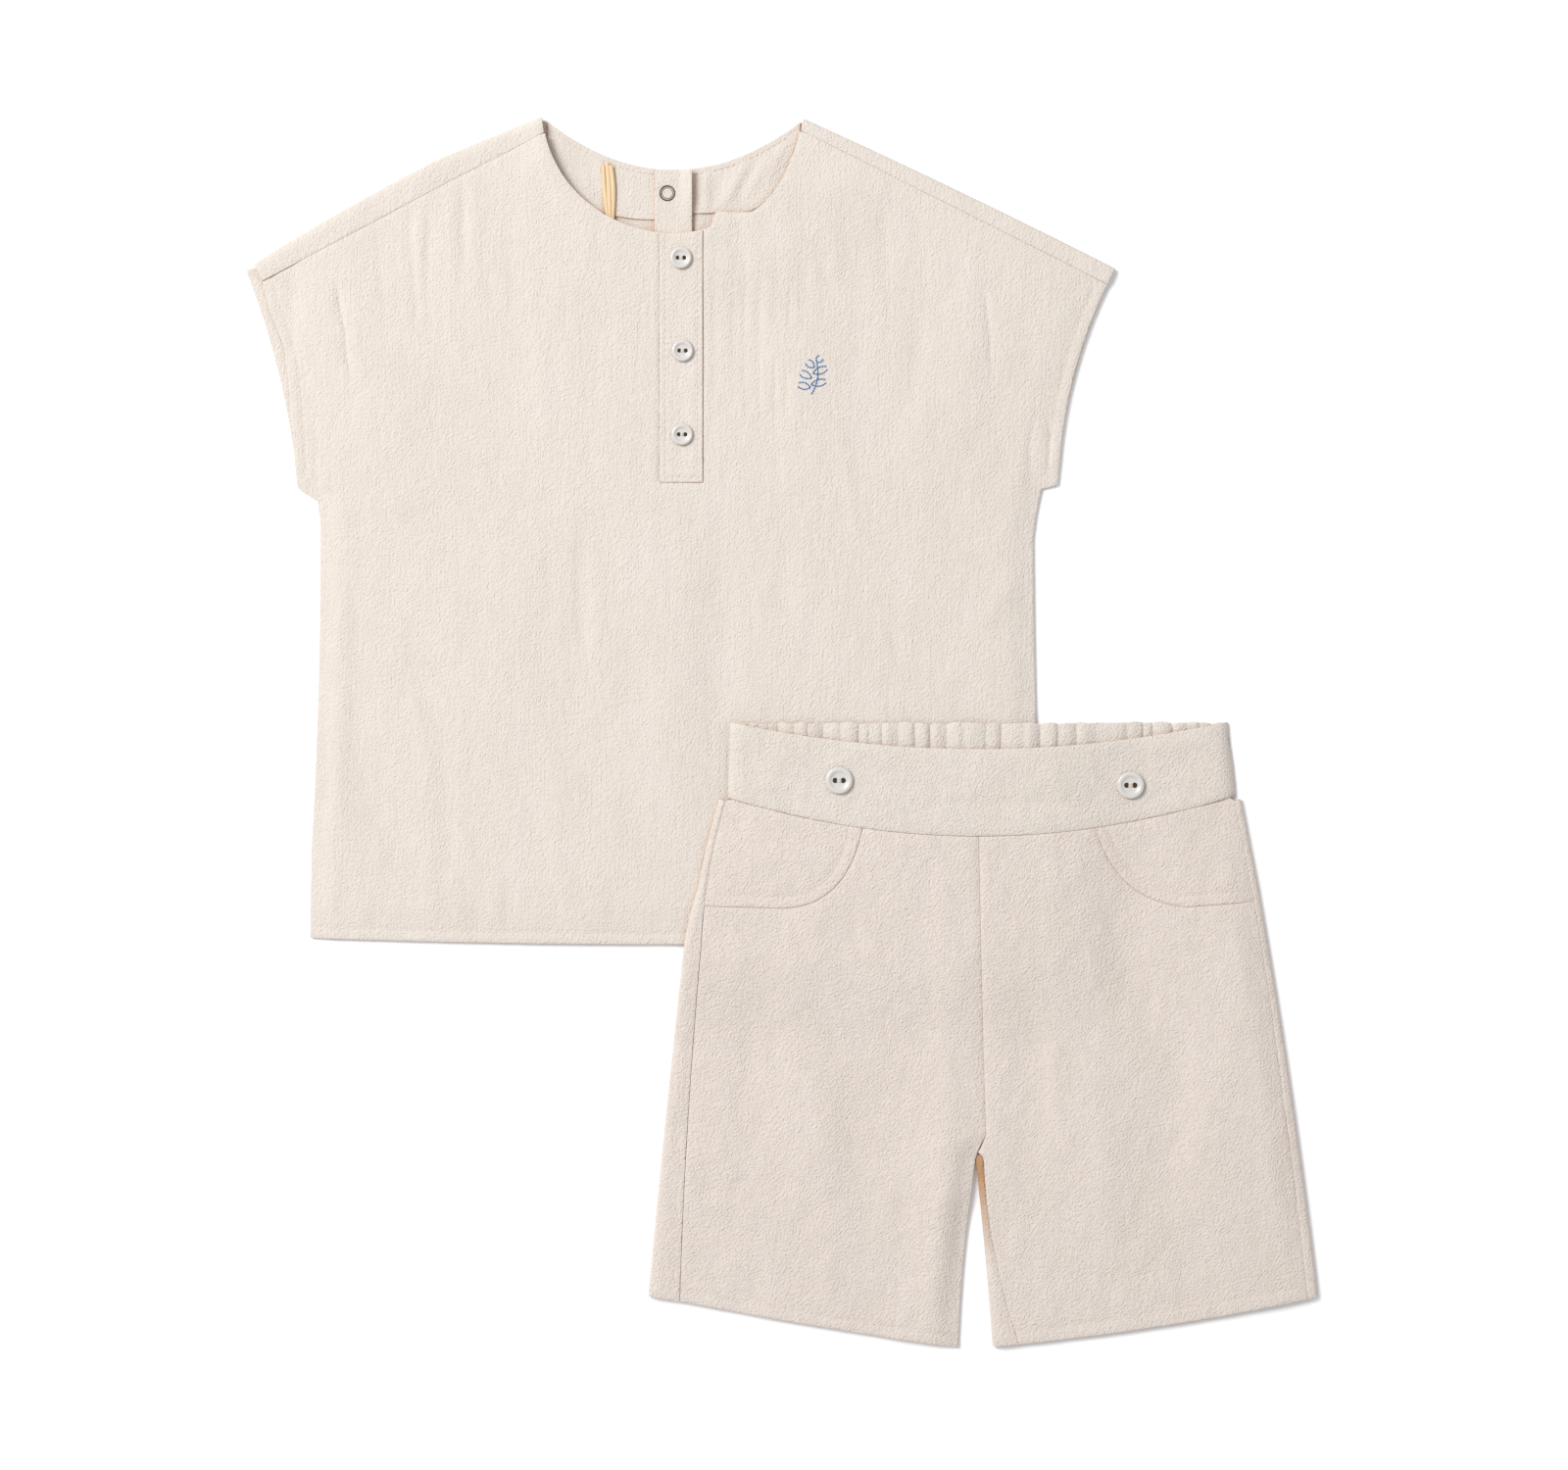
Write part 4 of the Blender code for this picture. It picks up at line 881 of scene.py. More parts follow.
for side, (outer, inner) in FACING_ENDS.items():
    count = 34
    along = np.linspace(outer, inner, count)
    depth = np.interp(along, *np.array(FACING_DEPTHS[side]).T)
    upper_edge = np.array([back_neck_point(t) for t in along]) - np.array([0.0, 0.2])
    rows = np.array([
        0.0, 0.03, 0.07, 0.12, 0.18, 0.26, 0.34, 0.42, 0.5, 0.58, 0.66, 0.74, 0.82, 0.9, 0.96, 1.0
    ])
    grid = np.concatenate([upper_edge - np.column_stack([np.zeros(count), depth * t]) for t in rows])
    down = np.repeat(rows, count)
    rise = WALL + FACING_WALL / 2.0 + 0.1 + 0.1 * smooth((down - 0.7) / 0.3)
    rise += creases_at(grid, facing_creases(side)) * smooth(down / 0.15)
    rise += 0.12 * abs(rumple(grid, 4.0, 7.0, 41))
    rise -= 0.22 * np.exp(-(((down * 25.0 - 2.8) / 0.8) ** 2))
    surface = (np.column_stack([grid, rise]), grid_faces(len(rows), count))
    # Painted shade: the facings take the tan-shaded copy of the crepe
    piece = cloth(f"facing_{side}_cloth", surface, TOP_AT, neck_shade_crepe, FACING_WALL)
    sewn_in(piece, [f"top_facing_{side}"])

neck_top = back_neck_point(0.5)[1] - 0.2
strip_rows = np.linspace(neck_top - STRIP_LENGTH, neck_top, 46)
strip_columns = np.linspace(STRIP_LEFT, STRIP_RIGHT, 13)
grid = np.array([(x, y) for y in strip_rows for x in strip_columns])
low, high = WALL * 1.5 + 0.1, WALL * 2.5 + 0.15
rise = low + (high - low) * smooth((grid[:, 1] - STRIP_DROP[0]) / (STRIP_DROP[1] - STRIP_DROP[0]))
rise += 0.08 * rumple(grid, 5.0, 12.0, 43)
rise += 2.8 * smooth((grid[:, 0] - 0.6) / 6.0) * smooth((grid[:, 1] - 336.0) / 16.0)
rise -= 0.25 * np.exp(-(np.hypot(grid[:, 0] - SNAP_AT[0], grid[:, 1] - SNAP_AT[1]) / 4.4) ** 4)
surface = (np.column_stack([grid, rise]), grid_faces(len(strip_rows), len(strip_columns)))
strip_cloth = cloth("back_strip_cloth", surface, TOP_AT, top_crepe)
sewn_in(
    strip_cloth, ["top_back_placket"]
)

# Polished nickel-plated steel: grey mirror with a narrow bright highlight
steel, steel_tree, steel_shader, steel_place = finish_of("nickel_plated_steel", 0.22, Metallic=1.0)
wear = pattern(steel_tree, steel_place, 0.8, 0.8)["Fac"]
coloured(steel_tree, steel_shader, wear, "#2c2d30", "#5a5b5f")


def metal_ring(name, radius, wire, height):
    bpy.ops.mesh.primitive_torus_add(
        major_radius=radius * MM, minor_radius=wire * MM, major_segments=64, minor_segments=14
    )
    made = bpy.context.object
    made.name = name
    made.data.shade_smooth()
    made.data.materials.append(steel)
    for vertex in made.data.vertices:
        vertex.co += Vector((SNAP_AT[0] + TOP_AT[0], SNAP_AT[1] + TOP_AT[1], height)) * MM
    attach(made, "root")
    return made


snap_height = high + WALL / 2.0 - 0.15
snap_ring = metal_ring("snap_ring", SNAP_RADIUS - 0.1, SNAP_WIRE * 0.56, snap_height + 0.2)
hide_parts("top_snap_ring")
metal_ring("snap_inner_ring", SNAP_RADIUS - 1.0, SNAP_WIRE * 0.2, snap_height + 0.1)

# Cotton tape, folded narrow and edge-stitched: warm straw yellow with a fine rib along it
tape, tape_tree, tape_shader, tape_place = finish_of("folded_cotton_tape", 0.8, Sheen_Weight=0.15)
rib = pattern(tape_tree, tape_place, 0.6, 6.0, Detail=3.0)["Fac"]
coloured(tape_tree, tape_shader, rib, "#d2ad7f", "#efdcb9")
rib_bump = node(tape_tree, "ShaderNodeBump", {"Height": rib, "Strength": 0.6, "Distance": 0.2 * MM})
tape_tree.links.new(rib_bump.outputs["Normal"], tape_shader.inputs["Normal"])

loop_points = []
loop_faces = []
t = np.linspace(0.0, 1.0, 24)
spacing = 1.5 + 0.7 * np.sin(math.pi * np.clip(t * 0.95 + 0.05, 0.0, 1.0)) - 0.3 * t
for strand in (-1.0, 0.0, 1.0):
    middle_x = LOOP_TOP[0] + (LOOP_FOOT[0] - LOOP_TOP[0]) * t + strand * spacing
    middle_x += 0.2 * np.sin(4.0 * t + strand)
    middle_y = LOOP_TOP[1] + (LOOP_FOOT[1] - LOOP_TOP[1]) * t - 1.2 * abs(strand) * (1.0 - t)
    rise = WALL * 2.5 + 0.7 + 0.25 * np.sin(3.0 * t + 2.0 * strand)
    rows = []
    for across, crown in ((-0.94, -0.45), (-0.62, 0.0), (0.0, 0.25), (0.62, 0.0), (0.94, -0.45)):
        rows.append(np.column_stack([middle_x + across * spacing / 2.0, middle_y, rise + crown]))
    start = sum(len(p) for p in loop_points)
    loop_points.append(np.concatenate(rows))
    loop_faces += [tuple(start + i for i in face) for face in grid_faces(len(rows), len(t))]
loop_cloth = cloth("hanger_loop_tape", (np.concatenate(loop_points), loop_faces), TOP_AT, tape, 0.5)
sewn_in(loop_cloth, ["top_hanger_loop"])

neck_line = np.array([back_neck_point(t) for t in np.linspace(0.93, 0.07, 60)]) - np.array([0.0, 2.8])


def upper_facing(flat):
    return np.full(len(flat), WALL + FACING_WALL + 0.12)


neck_stitches = stitched("neck_stitches", [(neck_line, upper_facing)], cream_thread, TOP_AT)


# Buttons. Turned from a pearly cream resin, with a raised rim and a dished middle, and sewn on by the
# thread that shows as a short bar between the two holes.

TOP_BUTTONS = ((1.4, 321.2), (2.1, 277.8), (1.9, 238.5))
TOP_BUTTON_RADIUS = 5.1

# Pearl-effect resin: clear gloss over a cloudy grey-white body with slow swirls
resin, resin_tree, resin_shader, resin_place = finish_of(
    "pearl_effect_resin", 0.28, Specular_IOR_Level=0.5, Coat_Weight=0.4, Coat_Roughness=0.12
)
swirl = pattern(resin_tree, resin_place, 3.0, 5.0, Detail=3.0, Distortion=1.5)["Fac"]
coloured(resin_tree, resin_shader, swirl, "#b9b5b0", "#dedad5")

# Shade at the bottom of a hole too deep for light to reach, drawn as a dark plug
hole_shade, shade_tree, shade_shader, shade_place = finish_of(
    "button_hole_shade", 0.9, Specular_IOR_Level=0.1
)
speck = pattern(shade_tree, shade_place, 0.6, 0.6)["Fac"]
coloured(shade_tree, shade_shader, speck, "#2e2a27", "#4a433d")

# From the dish's middle over the rim to the underside's middle: share of the radius, height
BUTTON_PROFILE = (
    (0.0, 1.32), (0.40, 1.28), (0.54, 1.30), (0.60, 1.48), (0.66, 1.78), (0.74, 1.95), (0.83, 2.0),
    (0.91, 1.9), (0.97, 1.65), (1.0, 1.25), (0.985, 0.75), (0.93, 0.32), (0.82, 0.06), (0.70, 0.0),
    (0.0, 0.0),
)
# In shares of a button's radius
HOLE_OFFSET = 0.29
HOLE_RADIUS = 0.2
PLUG_RADIUS = 0.19


def hole_mesh(name, radius, share, depth, middle):
    """A round bar through each of a button's two holes, round a middle given in metres."""
    bars = bmesh.new()
    for side in (-1.0, 1.0):
        bar = bmesh.ops.create_cone(
            bars, cap_ends=True, segments=20,
            radius1=share * radius * MM, radius2=share * radius * MM, depth=depth * MM,
        )
        spot = middle + Vector((side * HOLE_OFFSET * radius * MM, 0.0, 0.0))
        bmesh.ops.translate(bars, verts=bar["verts"], vec=spot)
    mesh = bpy.data.meshes.new(name)
    bars.to_mesh(mesh)
    bars.free()
    return mesh


def sewn_button(name, radius, place, at, cad_node):
    """One button with its holes, and the bar of thread that holds it."""
    mesh = bpy.data.meshes.new(name)
    points = [(x * radius * MM, 0.0, z * MM) for x, z in BUTTON_PROFILE]
    mesh.from_pydata(points, [(i, i + 1) for i in range(len(points) - 1)], [])
    mesh.materials.append(resin)
    button = placed(name, mesh)
    button.location = Vector((place[0] + at[0], place[1] + at[1], place[2])) * MM
    turned = button.modifiers.new("Turned", "SCREW")
    turned.steps = turned.render_steps = 56
    turned.use_merge_vertices = True
    turned.merge_threshold = 1e-5
    turned.use_smooth_shade = True
    cutter = placed(f"{name}_drill", hole_mesh(f"{name}_drill", radius, HOLE_RADIUS, 8.0, Vector()))
    cutter.location = button.location
    holes = button.modifiers.new("Holes", "BOOLEAN")
    holes.operation = "DIFFERENCE"
    holes.object = cutter
    bpy.context.view_layer.update()
    bored = bpy.data.meshes.new_from_object(button.evaluated_get(bpy.context.evaluated_depsgraph_get()))
    bored.transform(button.matrix_world)
    button.modifiers.clear()
    button.data = bored
    button.location = (0.0, 0.0, 0.0)
    bored.set_sharp_from_angle(angle=math.radians(50.0))
    bpy.data.objects.remove(cutter)
    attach(button, "root")
    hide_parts(cad_node)
    # Painted shade: dark plugs sunk in both holes stand in for the shade at their bottoms
    bottom = Vector((place[0] + at[0], place[1] + at[1], place[2] + 0.75)) * MM
    shade_plug_mesh = hole_mesh(f"{name}_holes", radius, PLUG_RADIUS, 0.5, bottom)
    shade_plug_mesh.materials.append(hole_shade)
    shade_plug_object = placed(f"{name}_holes", shade_plug_mesh)
    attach(shade_plug_object, "root")
    rows = []
    for aside in (-0.09, 0.0, 0.09):
        y = place[1] + aside * radius
        rows.append((
            np.array([(place[0] - 0.25 * radius, y), (place[0] + 0.25 * radius, y)]),
            lambda flat: np.full(len(flat), place[2] + 1.5),
        ))
    bar = stitched(
        f"{name}_thread", rows, cream_thread, at,
        thread=0.1 * radius, pitch=0.5 * radius, length=0.38 * radius,
    )
    return button


for number, (x, y) in enumerate(TOP_BUTTONS, 1):
    seat = upper_placket(np.array([(x, y)]))[0]
    sewn_button(
        f"button_top_{number}", TOP_BUTTON_RADIUS, (x, y, seat), TOP_AT, f"top_button_{number}"
    )


# Chest motif. A small sprig, hand-worked in one strand of pale blue thread: a bent stem in back
# stitch and four open leaves in running stitches.

blue_thread = spun_thread("embroidery_thread_blue", "#2b6199", "#4d86b8")
SPRIG_AT = (64.0, 265.5)


def leaf(foot, tip, belly):
    """Both sides of one leaf, from its foot to its tip."""
    return [bowed(foot, tip, side * belly, 8) for side in (-1.0, 1.0)]


stem = np.concatenate([bowed((-1.5, -8.3), (1.0, 7.0), 1.6, 14), [(1.0, 7.0)]])
sprig = [stem]
for foot, tip in (
    ((-1.9, -5.0), (-8.6, -3.4)), ((-1.7, -3.6), (6.4, -1.8)), ((-1.3, -0.6), (-7.8, 2.8)),
    ((-0.8, 1.6), (6.8, 4.6)), ((0.0, 4.4), (-4.6, 8.0)), ((1.0, 7.0), (3.6, 9.8)),
):
    sprig += leaf(foot, tip, 1.6)
sprig_rows = [(path + np.array(SPRIG_AT), upper_front) for path in sprig]
sprig_stitches = stitched(
    "sprig_embroidery", sprig_rows, blue_thread, TOP_AT, thread=0.8, pitch=1.3, length=1.45
)


# Backs of the shorts. Two panels that lie under the fronts and turn forward round the side seams
# and the right inner leg. They lie on the top's corner and come down to the paper beyond it.

SHORTS_AT = (93.2, -198.75)
SHORTS_CREST_LEFT = (
    ("waist", -122.4, 167.8, 0.6), ("hip", -132.4, 126.0, 0.6), ("flare", -138.8, 100.0, 0.4),
    ("hem", -155.8, -65.6, 0.0),
)
SHORTS_SEAM_LEFT = (
    ("waist", -119.4, 167.0, 0.8), ("hip", -128.4, 126.0, 0.3), ("flare", -130.9, 100.0, 1.3),
    ("hem", -141.1, -68.0, 0.0),
)
SHORTS_CREST_RIGHT = (("hem", 158.6, -65.4, 1.4), ("hip", 130.4, 127.0, 0.0), ("waist", 122.5, 167.8, 0.0))
SHORTS_SEAM_RIGHT = (("hem", 153.7, -66.9, 1.4), ("hip", 127.8, 126.6, 0.0), ("waist", 119.9, 167.0, 0.0))
SHORTS_CREST_INNER = (("crotch", -1.7, 0.6, 0.0), ("fold", -1.9, -2.4, -0.4), ("hem", 6.0, -89.2, 0.0))
SHORTS_SEAM_INNER = (("crotch", 1.1, 0.2, 0.0), ("fold", 1.8, -2.6, 3.2), ("hem", 18.2, -88.1, 0.0))
SHORTS_CENTRE_SEAM = (("waist", -0.9, 150.4, 0.3), ("rise", 2.8, 10.0, 0.4), ("crotch", -2.3, -1.8, 0.0))
SHORTS_INNER_LEFT = (("hem", -10.4, -89.8, -0.7), ("thigh", -5.4, -25.3, 0.0), ("crotch", -2.3, -1.8, 0.0))
SHORTS_RISE_RIGHT = (("rise", 2.8, 10.0, 0.0), ("crotch", -0.65, 1.9, 0.0), ("fold", 0.2, 0.9, 0.0))
HEM_BULGE_LEFT = 0.8
HEM_BULGE_RIGHT = 1.9
WAIST_MIDDLE = -0.9
WAIST_HALF = 121.0
WAIST_END_Y = 169.5
WAIST_DIP = 19.1
STEP_HEIGHT = 4.0
STEP_SIDE_X = TOP_AT[0] + 170.0 - SHORTS_AT[0]
STEP_HEM_Y = TOP_AT[1] - 0.6 - SHORTS_AT[1]
STEP_MARGIN = 4.0
STEP_RUN = 46.0


def rest_height(flat):
    """Underside of the shorts: level on the top's corner, then eased down to the paper beyond its edges."""
    past_side = np.maximum(0.0, flat[:, 0] - STEP_SIDE_X)
    past_hem = np.maximum(0.0, STEP_HEM_Y - flat[:, 1])
    return STEP_HEIGHT * (1.0 - smooth((np.hypot(past_side, past_hem) - STEP_MARGIN) / STEP_RUN))


def waist_y(x, end_y=WAIST_END_Y, dip=WAIST_DIP):
    """Where the curved waist seam is at x, or a line that curves like it with another height and dip."""
    return end_y - dip * (1.0 - ((x - WAIST_MIDDLE) / WAIST_HALF) ** 2)


def along_x(start, end, height, step=STEP):
    x = np.linspace(start, end, max(2, round(abs(end - start) / step) + 1))
    return np.column_stack([x, height(x)])


def side_bulge(flat):
    """The right leg is fuller along its side, and rolls down to the side seam."""
    from_crest = distance_to(line(SHORTS_CREST_RIGHT, [8, 2]), flat)
    below_waist = smooth((waist_y(flat[:, 0]) - flat[:, 1] - 2.0) / 45.0)
    above_hem = 0.2 + 0.8 * smooth((flat[:, 1] + 68.0) / 50.0)
    swell = smooth(from_crest / 15.0) * (1.0 - smooth((from_crest - 15.0) / 50.0))
    return 2.4 * swell * below_waist * above_hem


def shorts_back_height(flat):
    return rest_height(flat) + WALL / 2.0


LEG_CREAM = ("#d7ccc2", "#dacfc6")
shorts_crepe = crinkled_crepe("cotton_crepe_shorts", -38.0, 0.12, 0.85, cream=LEG_CREAM)
centre = line(SHORTS_CENTRE_SEAM)
left_pair = paired(SHORTS_CREST_LEFT, SHORTS_SEAM_LEFT)
right_pair = paired(SHORTS_CREST_RIGHT, SHORTS_SEAM_RIGHT)
inner_pair = paired(SHORTS_CREST_INNER, SHORTS_SEAM_INNER)

left_base = fold_base(*left_pair)
outline = ring(
    along_x(WAIST_MIDDLE, left_base[0][0] + 4.0, waist_y)[1:],
    left_base,
    bowed(left_base[-1], SHORTS_INNER_LEFT[0][1:3], HEM_BULGE_LEFT, 58)[1:],
    line(SHORTS_INNER_LEFT)[:-1],
    centre[::-1],
)
flat, faces = filled(outline, 4.0)
panel = joined((lifted(flat, shorts_back_height), faces), folded_strip(*left_pair, shorts_back_height, 51))
shorts_back_left_cloth = cloth("shorts_back_left_cloth", panel, SHORTS_AT, shorts_crepe)
sewn_in(
    shorts_back_left_cloth, ["shorts_back_left"]
)

right_base = fold_base(*right_pair)
inner_base = fold_base(*inner_pair)
outline = ring(
    along_x(right_base[-1][0] - 4.0, WAIST_MIDDLE + 0.3, waist_y)[:-1],
    beside(centre, 0.3),
    inner_base,
    bowed(inner_base[-1], right_base[0], HEM_BULGE_RIGHT, 60)[1:],
    right_base,
)
flat, faces = filled(outline, 4.0)
from_crotch = np.hypot(*(inner_pair[0] - inner_pair[0][0]).T)
inner_strip = folded_strip(*inner_pair, shorts_back_height, 53, 0.45 + 0.55 * smooth(from_crotch / 50.0))
panel = joined(
    (lifted(flat, shorts_back_height), faces),
    folded_strip(*right_pair, shorts_back_height, 52, over=side_bulge),
    inner_strip,
)
# Painted shade: this copy of the crepe turns tan near the crotch and fades out down the leg, on the right
# leg's turned inner edge
leg_shade_crepe = crinkled_crepe(
    "cotton_crepe_leg_shade", -38.0, 0.12, 0.85, shaded=(-207.0, -248.0, "#b58d68"), cream=LEG_CREAM
)
shorts_back_right_cloth = cloth(
    "shorts_back_right_cloth", panel, SHORTS_AT, shorts_crepe,
    shaded=(leg_shade_crepe, range(len(panel[1]) - len(inner_strip[1]), len(panel[1]))),
)
sewn_in(
    shorts_back_right_cloth, ["shorts_back_right"],
)


# Fronts of the shorts. Two panels seamed down the middle, with soft folds that fall from the waist.
# The pocket pieces lie on them, sewn along a curve 5.5 mm inside their free edge.

FRONT_LIFT = 2.6
BAND_LIFT = 4.0
WAIST_LIFT_RUN = 60.0
WAIST_LIFT_SIDE = 30.0
POCKET_ROW = 5.5
LEFT_SEAM_GAP = 0.22
POCKET_CURVES = {
    "left": ((-55.0, 156.6), (-62.0, 118.0), (-92.0, 116.8), (-146.0, 118.3)),
    "right": ((53.6, 156.2), (63.0, 120.0), (97.0, 117.3), (146.0, 121.2)),
}
SHORTS_FOLDS = (
    (-75.0, 10.0, 70.0, 26.0, 8.0, 1.3),
    (-28.0, -20.0, 55.0, 24.0, 3.0, 1.0),
    (52.0, 20.0, 75.0, 28.0, -6.0, 1.2),
    (106.0, -5.0, 60.0, 26.0, -9.0, 1.0),
)
SHORTS_CREASES = (
    (-14.0, 120.0, -16.0, -70.0, -2.0, 10.0, 1.2),
    (-52.0, 140.0, -66.0, 40.0, 3.0, 9.0, -0.5),
    (-60.0, 60.0, -58.0, -40.0, 2.0, 9.0, -0.8),
    (-85.0, 100.0, -88.0, -10.0, -2.0, 10.0, 0.5),
    (-100.0, 90.0, -108.0, -20.0, 2.0, 9.0, -0.6),
    (-67.0, -20.0, -70.0, -75.0, 1.0, 6.0, 0.6),
    (-38.0, -20.0, -40.0, -78.0, -1.0, 7.0, -0.5),
    (-19.0, 10.0, -22.0, -86.0, 0.0, 8.0, 1.4),
    (-132.0, -20.0, -112.0, -24.0, 1.0, 3.0, 0.4),
    (-130.0, -34.0, -108.0, -40.0, -1.0, 3.0, -0.35),
    (-128.0, -47.0, -106.0, -52.0, 1.0, 3.0, 0.35),
    (28.0, 90.0, 24.0, -10.0, 2.0, 8.0, -0.6),
    (36.0, 70.0, 34.0, -30.0, -1.0, 6.0, 0.5),
    (48.0, 120.0, 66.0, 50.0, 3.0, 8.0, 0.6),
    (60.0, 130.0, 80.0, 60.0, 3.0, 7.0, -0.5),
    (60.0, 20.0, 58.0, -60.0, 1.0, 6.0, 0.4),
    (92.0, 60.0, 88.0, -20.0, -2.0, 8.0, -0.6),
    (112.0, 60.0, 104.0, -10.0, -2.0, 9.0, 0.6),
    (96.0, -30.0, 106.0, -56.0, 1.0, 9.0, -0.5),
)


def shorts_front_height(flat):
    """Middle of a front's wall: low at the plain inseam, level inside, lifted to the band at the waist."""
    height = rest_height(flat) + FRONT_LIFT + WALL / 2.0
    inseam = distance_to(line(SHORTS_INNER_LEFT, [3, 1]), flat)
    from_inseam = np.where(flat[:, 0] < 0.0, inseam, SIDE_RISE)
    height -= (FRONT_LIFT - SEAM_HEIGHT) * (1.0 - smooth(from_inseam / SIDE_RISE))
    from_waist = waist_y(flat[:, 0]) - flat[:, 1]
    from_side = WAIST_HALF - abs(flat[:, 0] - WAIST_MIDDLE)
    lift = (1.0 - smooth(from_waist / WAIST_LIFT_RUN)) * smooth(from_side / WAIST_LIFT_SIDE)
    return height + (BAND_LIFT - FRONT_LIFT) * lift + folds_at(flat, SHORTS_FOLDS) + side_bulge(flat)


def pocket_edge(side, count=25):
    """The pocket's free edge: a quadratic curve, then a straight run past the side seam."""
    start, pull, end, beyond = (np.array(p) for p in POCKET_CURVES[side])
    t = np.linspace(0.0, 1.0, count)[:, None]
    curve = start * (1.0 - t) ** 2 + 2.0 * pull * t * (1.0 - t) + end * t * t
    return np.concatenate([curve, bowed(end, beyond, 0.0, 18)[1:], [beyond]])


def pocket_area(side):
    edge = pocket_edge(side)
    return np.concatenate([edge, [(edge[-1][0], 200.0), (edge[0][0], 200.0)]])


def hem_of(start, end, bulge, *counts):
    """A leg's hem, between the feet of two of its edges."""
    return line(((*start[:3], bulge), end), *counts)


SHORTS_HEMS = {
    "left": hem_of(SHORTS_SEAM_LEFT[-1], SHORTS_INNER_LEFT[0], HEM_BULGE_LEFT, [12]),
    "right": hem_of(SHORTS_CREST_INNER[-1], SHORTS_CREST_RIGHT[0], HEM_BULGE_RIGHT, [14]),
}
SHORTS_CENTRE = line(SHORTS_CENTRE_SEAM, [3, 2])


def inside_pockets(flat):
    """How far a point is inside the nearer pocket piece, below nought outside it."""
    pocketed = is_inside(pocket_area("left"), flat) | is_inside(pocket_area("right"), flat)
    near_edge = np.minimum(distance_to(pocket_edge("left"), flat), distance_to(pocket_edge("right"), flat))
    return np.where(pocketed, near_edge, -near_edge)


def shorts_front_surface(flat):
    """A front as it lies: folds, creases and ripples, calmer under the pockets and at the seams."""
    inside = inside_pockets(flat)
    free = np.where(inside > 0.0, 0.15, 0.15 + 0.85 * smooth(-inside / 8.0))
    from_centre = distance_to(SHORTS_CENTRE, flat)
    free *= smooth(from_centre / 5.0)
    free *= smooth(distance_to(line(SHORTS_INNER_LEFT, [3, 1]), flat) / 9.0)
    ripples = 0.26 * rumple(flat, 19.0, 60.0, 61) + 0.16 * rumple(flat, 7.0, 22.0, 62)
    ripples += 0.09 * rumple(flat, 4.0, 7.0, 63)
    height = shorts_front_height(flat) + free * (creases_at(flat, SHORTS_CREASES) + ripples)
    height -= 0.2 * np.exp(-((from_centre / 1.2) ** 2))
    from_crotch = np.hypot(flat[:, 0] + 6.0, flat[:, 1] + 16.0)
    height += 1.6 * np.exp(-((from_crotch / 13.0) ** 2)) * (flat[:, 0] < 0.5)
    for hem in SHORTS_HEMS.values():
        height += hem_relief(flat, hem)
    return height - inlay(inside)


def pocket_surface(flat):
    """A pocket piece on its front: turned in at the curve, and pulled in along its stitching."""
    inside = inside_pockets(flat)
    turned = 0.12 * smooth(inside / 1.6)
    pulled = 0.34 * np.exp(-(((inside - POCKET_ROW) / 0.9) ** 2))
    ripples = 0.22 * rumple(flat, 16.0, 20.0, 71) + 0.10 * rumple(flat, 5.0, 8.0, 72)
    from_seam = np.minimum(distance_to(left_pair[1], flat), distance_to(right_pair[1], flat))
    height = shorts_front_height(flat) + 0.24 + (turned - pulled + ripples * smooth(inside / 8.0))
    return height - 0.24 * (1.0 - smooth(from_seam / 3.0))


left_seam = beside(left_pair[1], LEFT_SEAM_GAP)
right_seam = beside(right_pair[1], SEAM_GAP)
inner_seam = beside(inner_pair[1], SEAM_GAP)
shorts_outlines = {
    "left": ring(
        along_x(WAIST_MIDDLE, left_seam[0][0] + 3.0, waist_y)[1:],
        left_seam,
        bowed(left_seam[-1], SHORTS_INNER_LEFT[0][1:3], HEM_BULGE_LEFT, 52)[1:],
        line(SHORTS_INNER_LEFT)[:-1],
        centre[::-1],
    ),
    "right": ring(
        along_x(right_seam[-1][0] - 3.0, WAIST_MIDDLE + 0.15, waist_y)[:-1],
        beside(line(SHORTS_CENTRE_SEAM[:2]), SEAM_GAP),
        line(SHORTS_RISE_RIGHT)[1:] + np.array([SEAM_GAP, 0.0]),
        inner_seam,
        bowed(inner_seam[-1], right_seam[0], HEM_BULGE_RIGHT, 54)[1:],
        right_seam,
    ),
}
hem_runs = {
    "left": hem_of(SHORTS_SEAM_LEFT[-1], SHORTS_INNER_LEFT[0], HEM_BULGE_LEFT),
    "right": hem_of(SHORTS_SEAM_INNER[-1], SHORTS_SEAM_RIGHT[0], HEM_BULGE_RIGHT),
}
shorts_rows = []
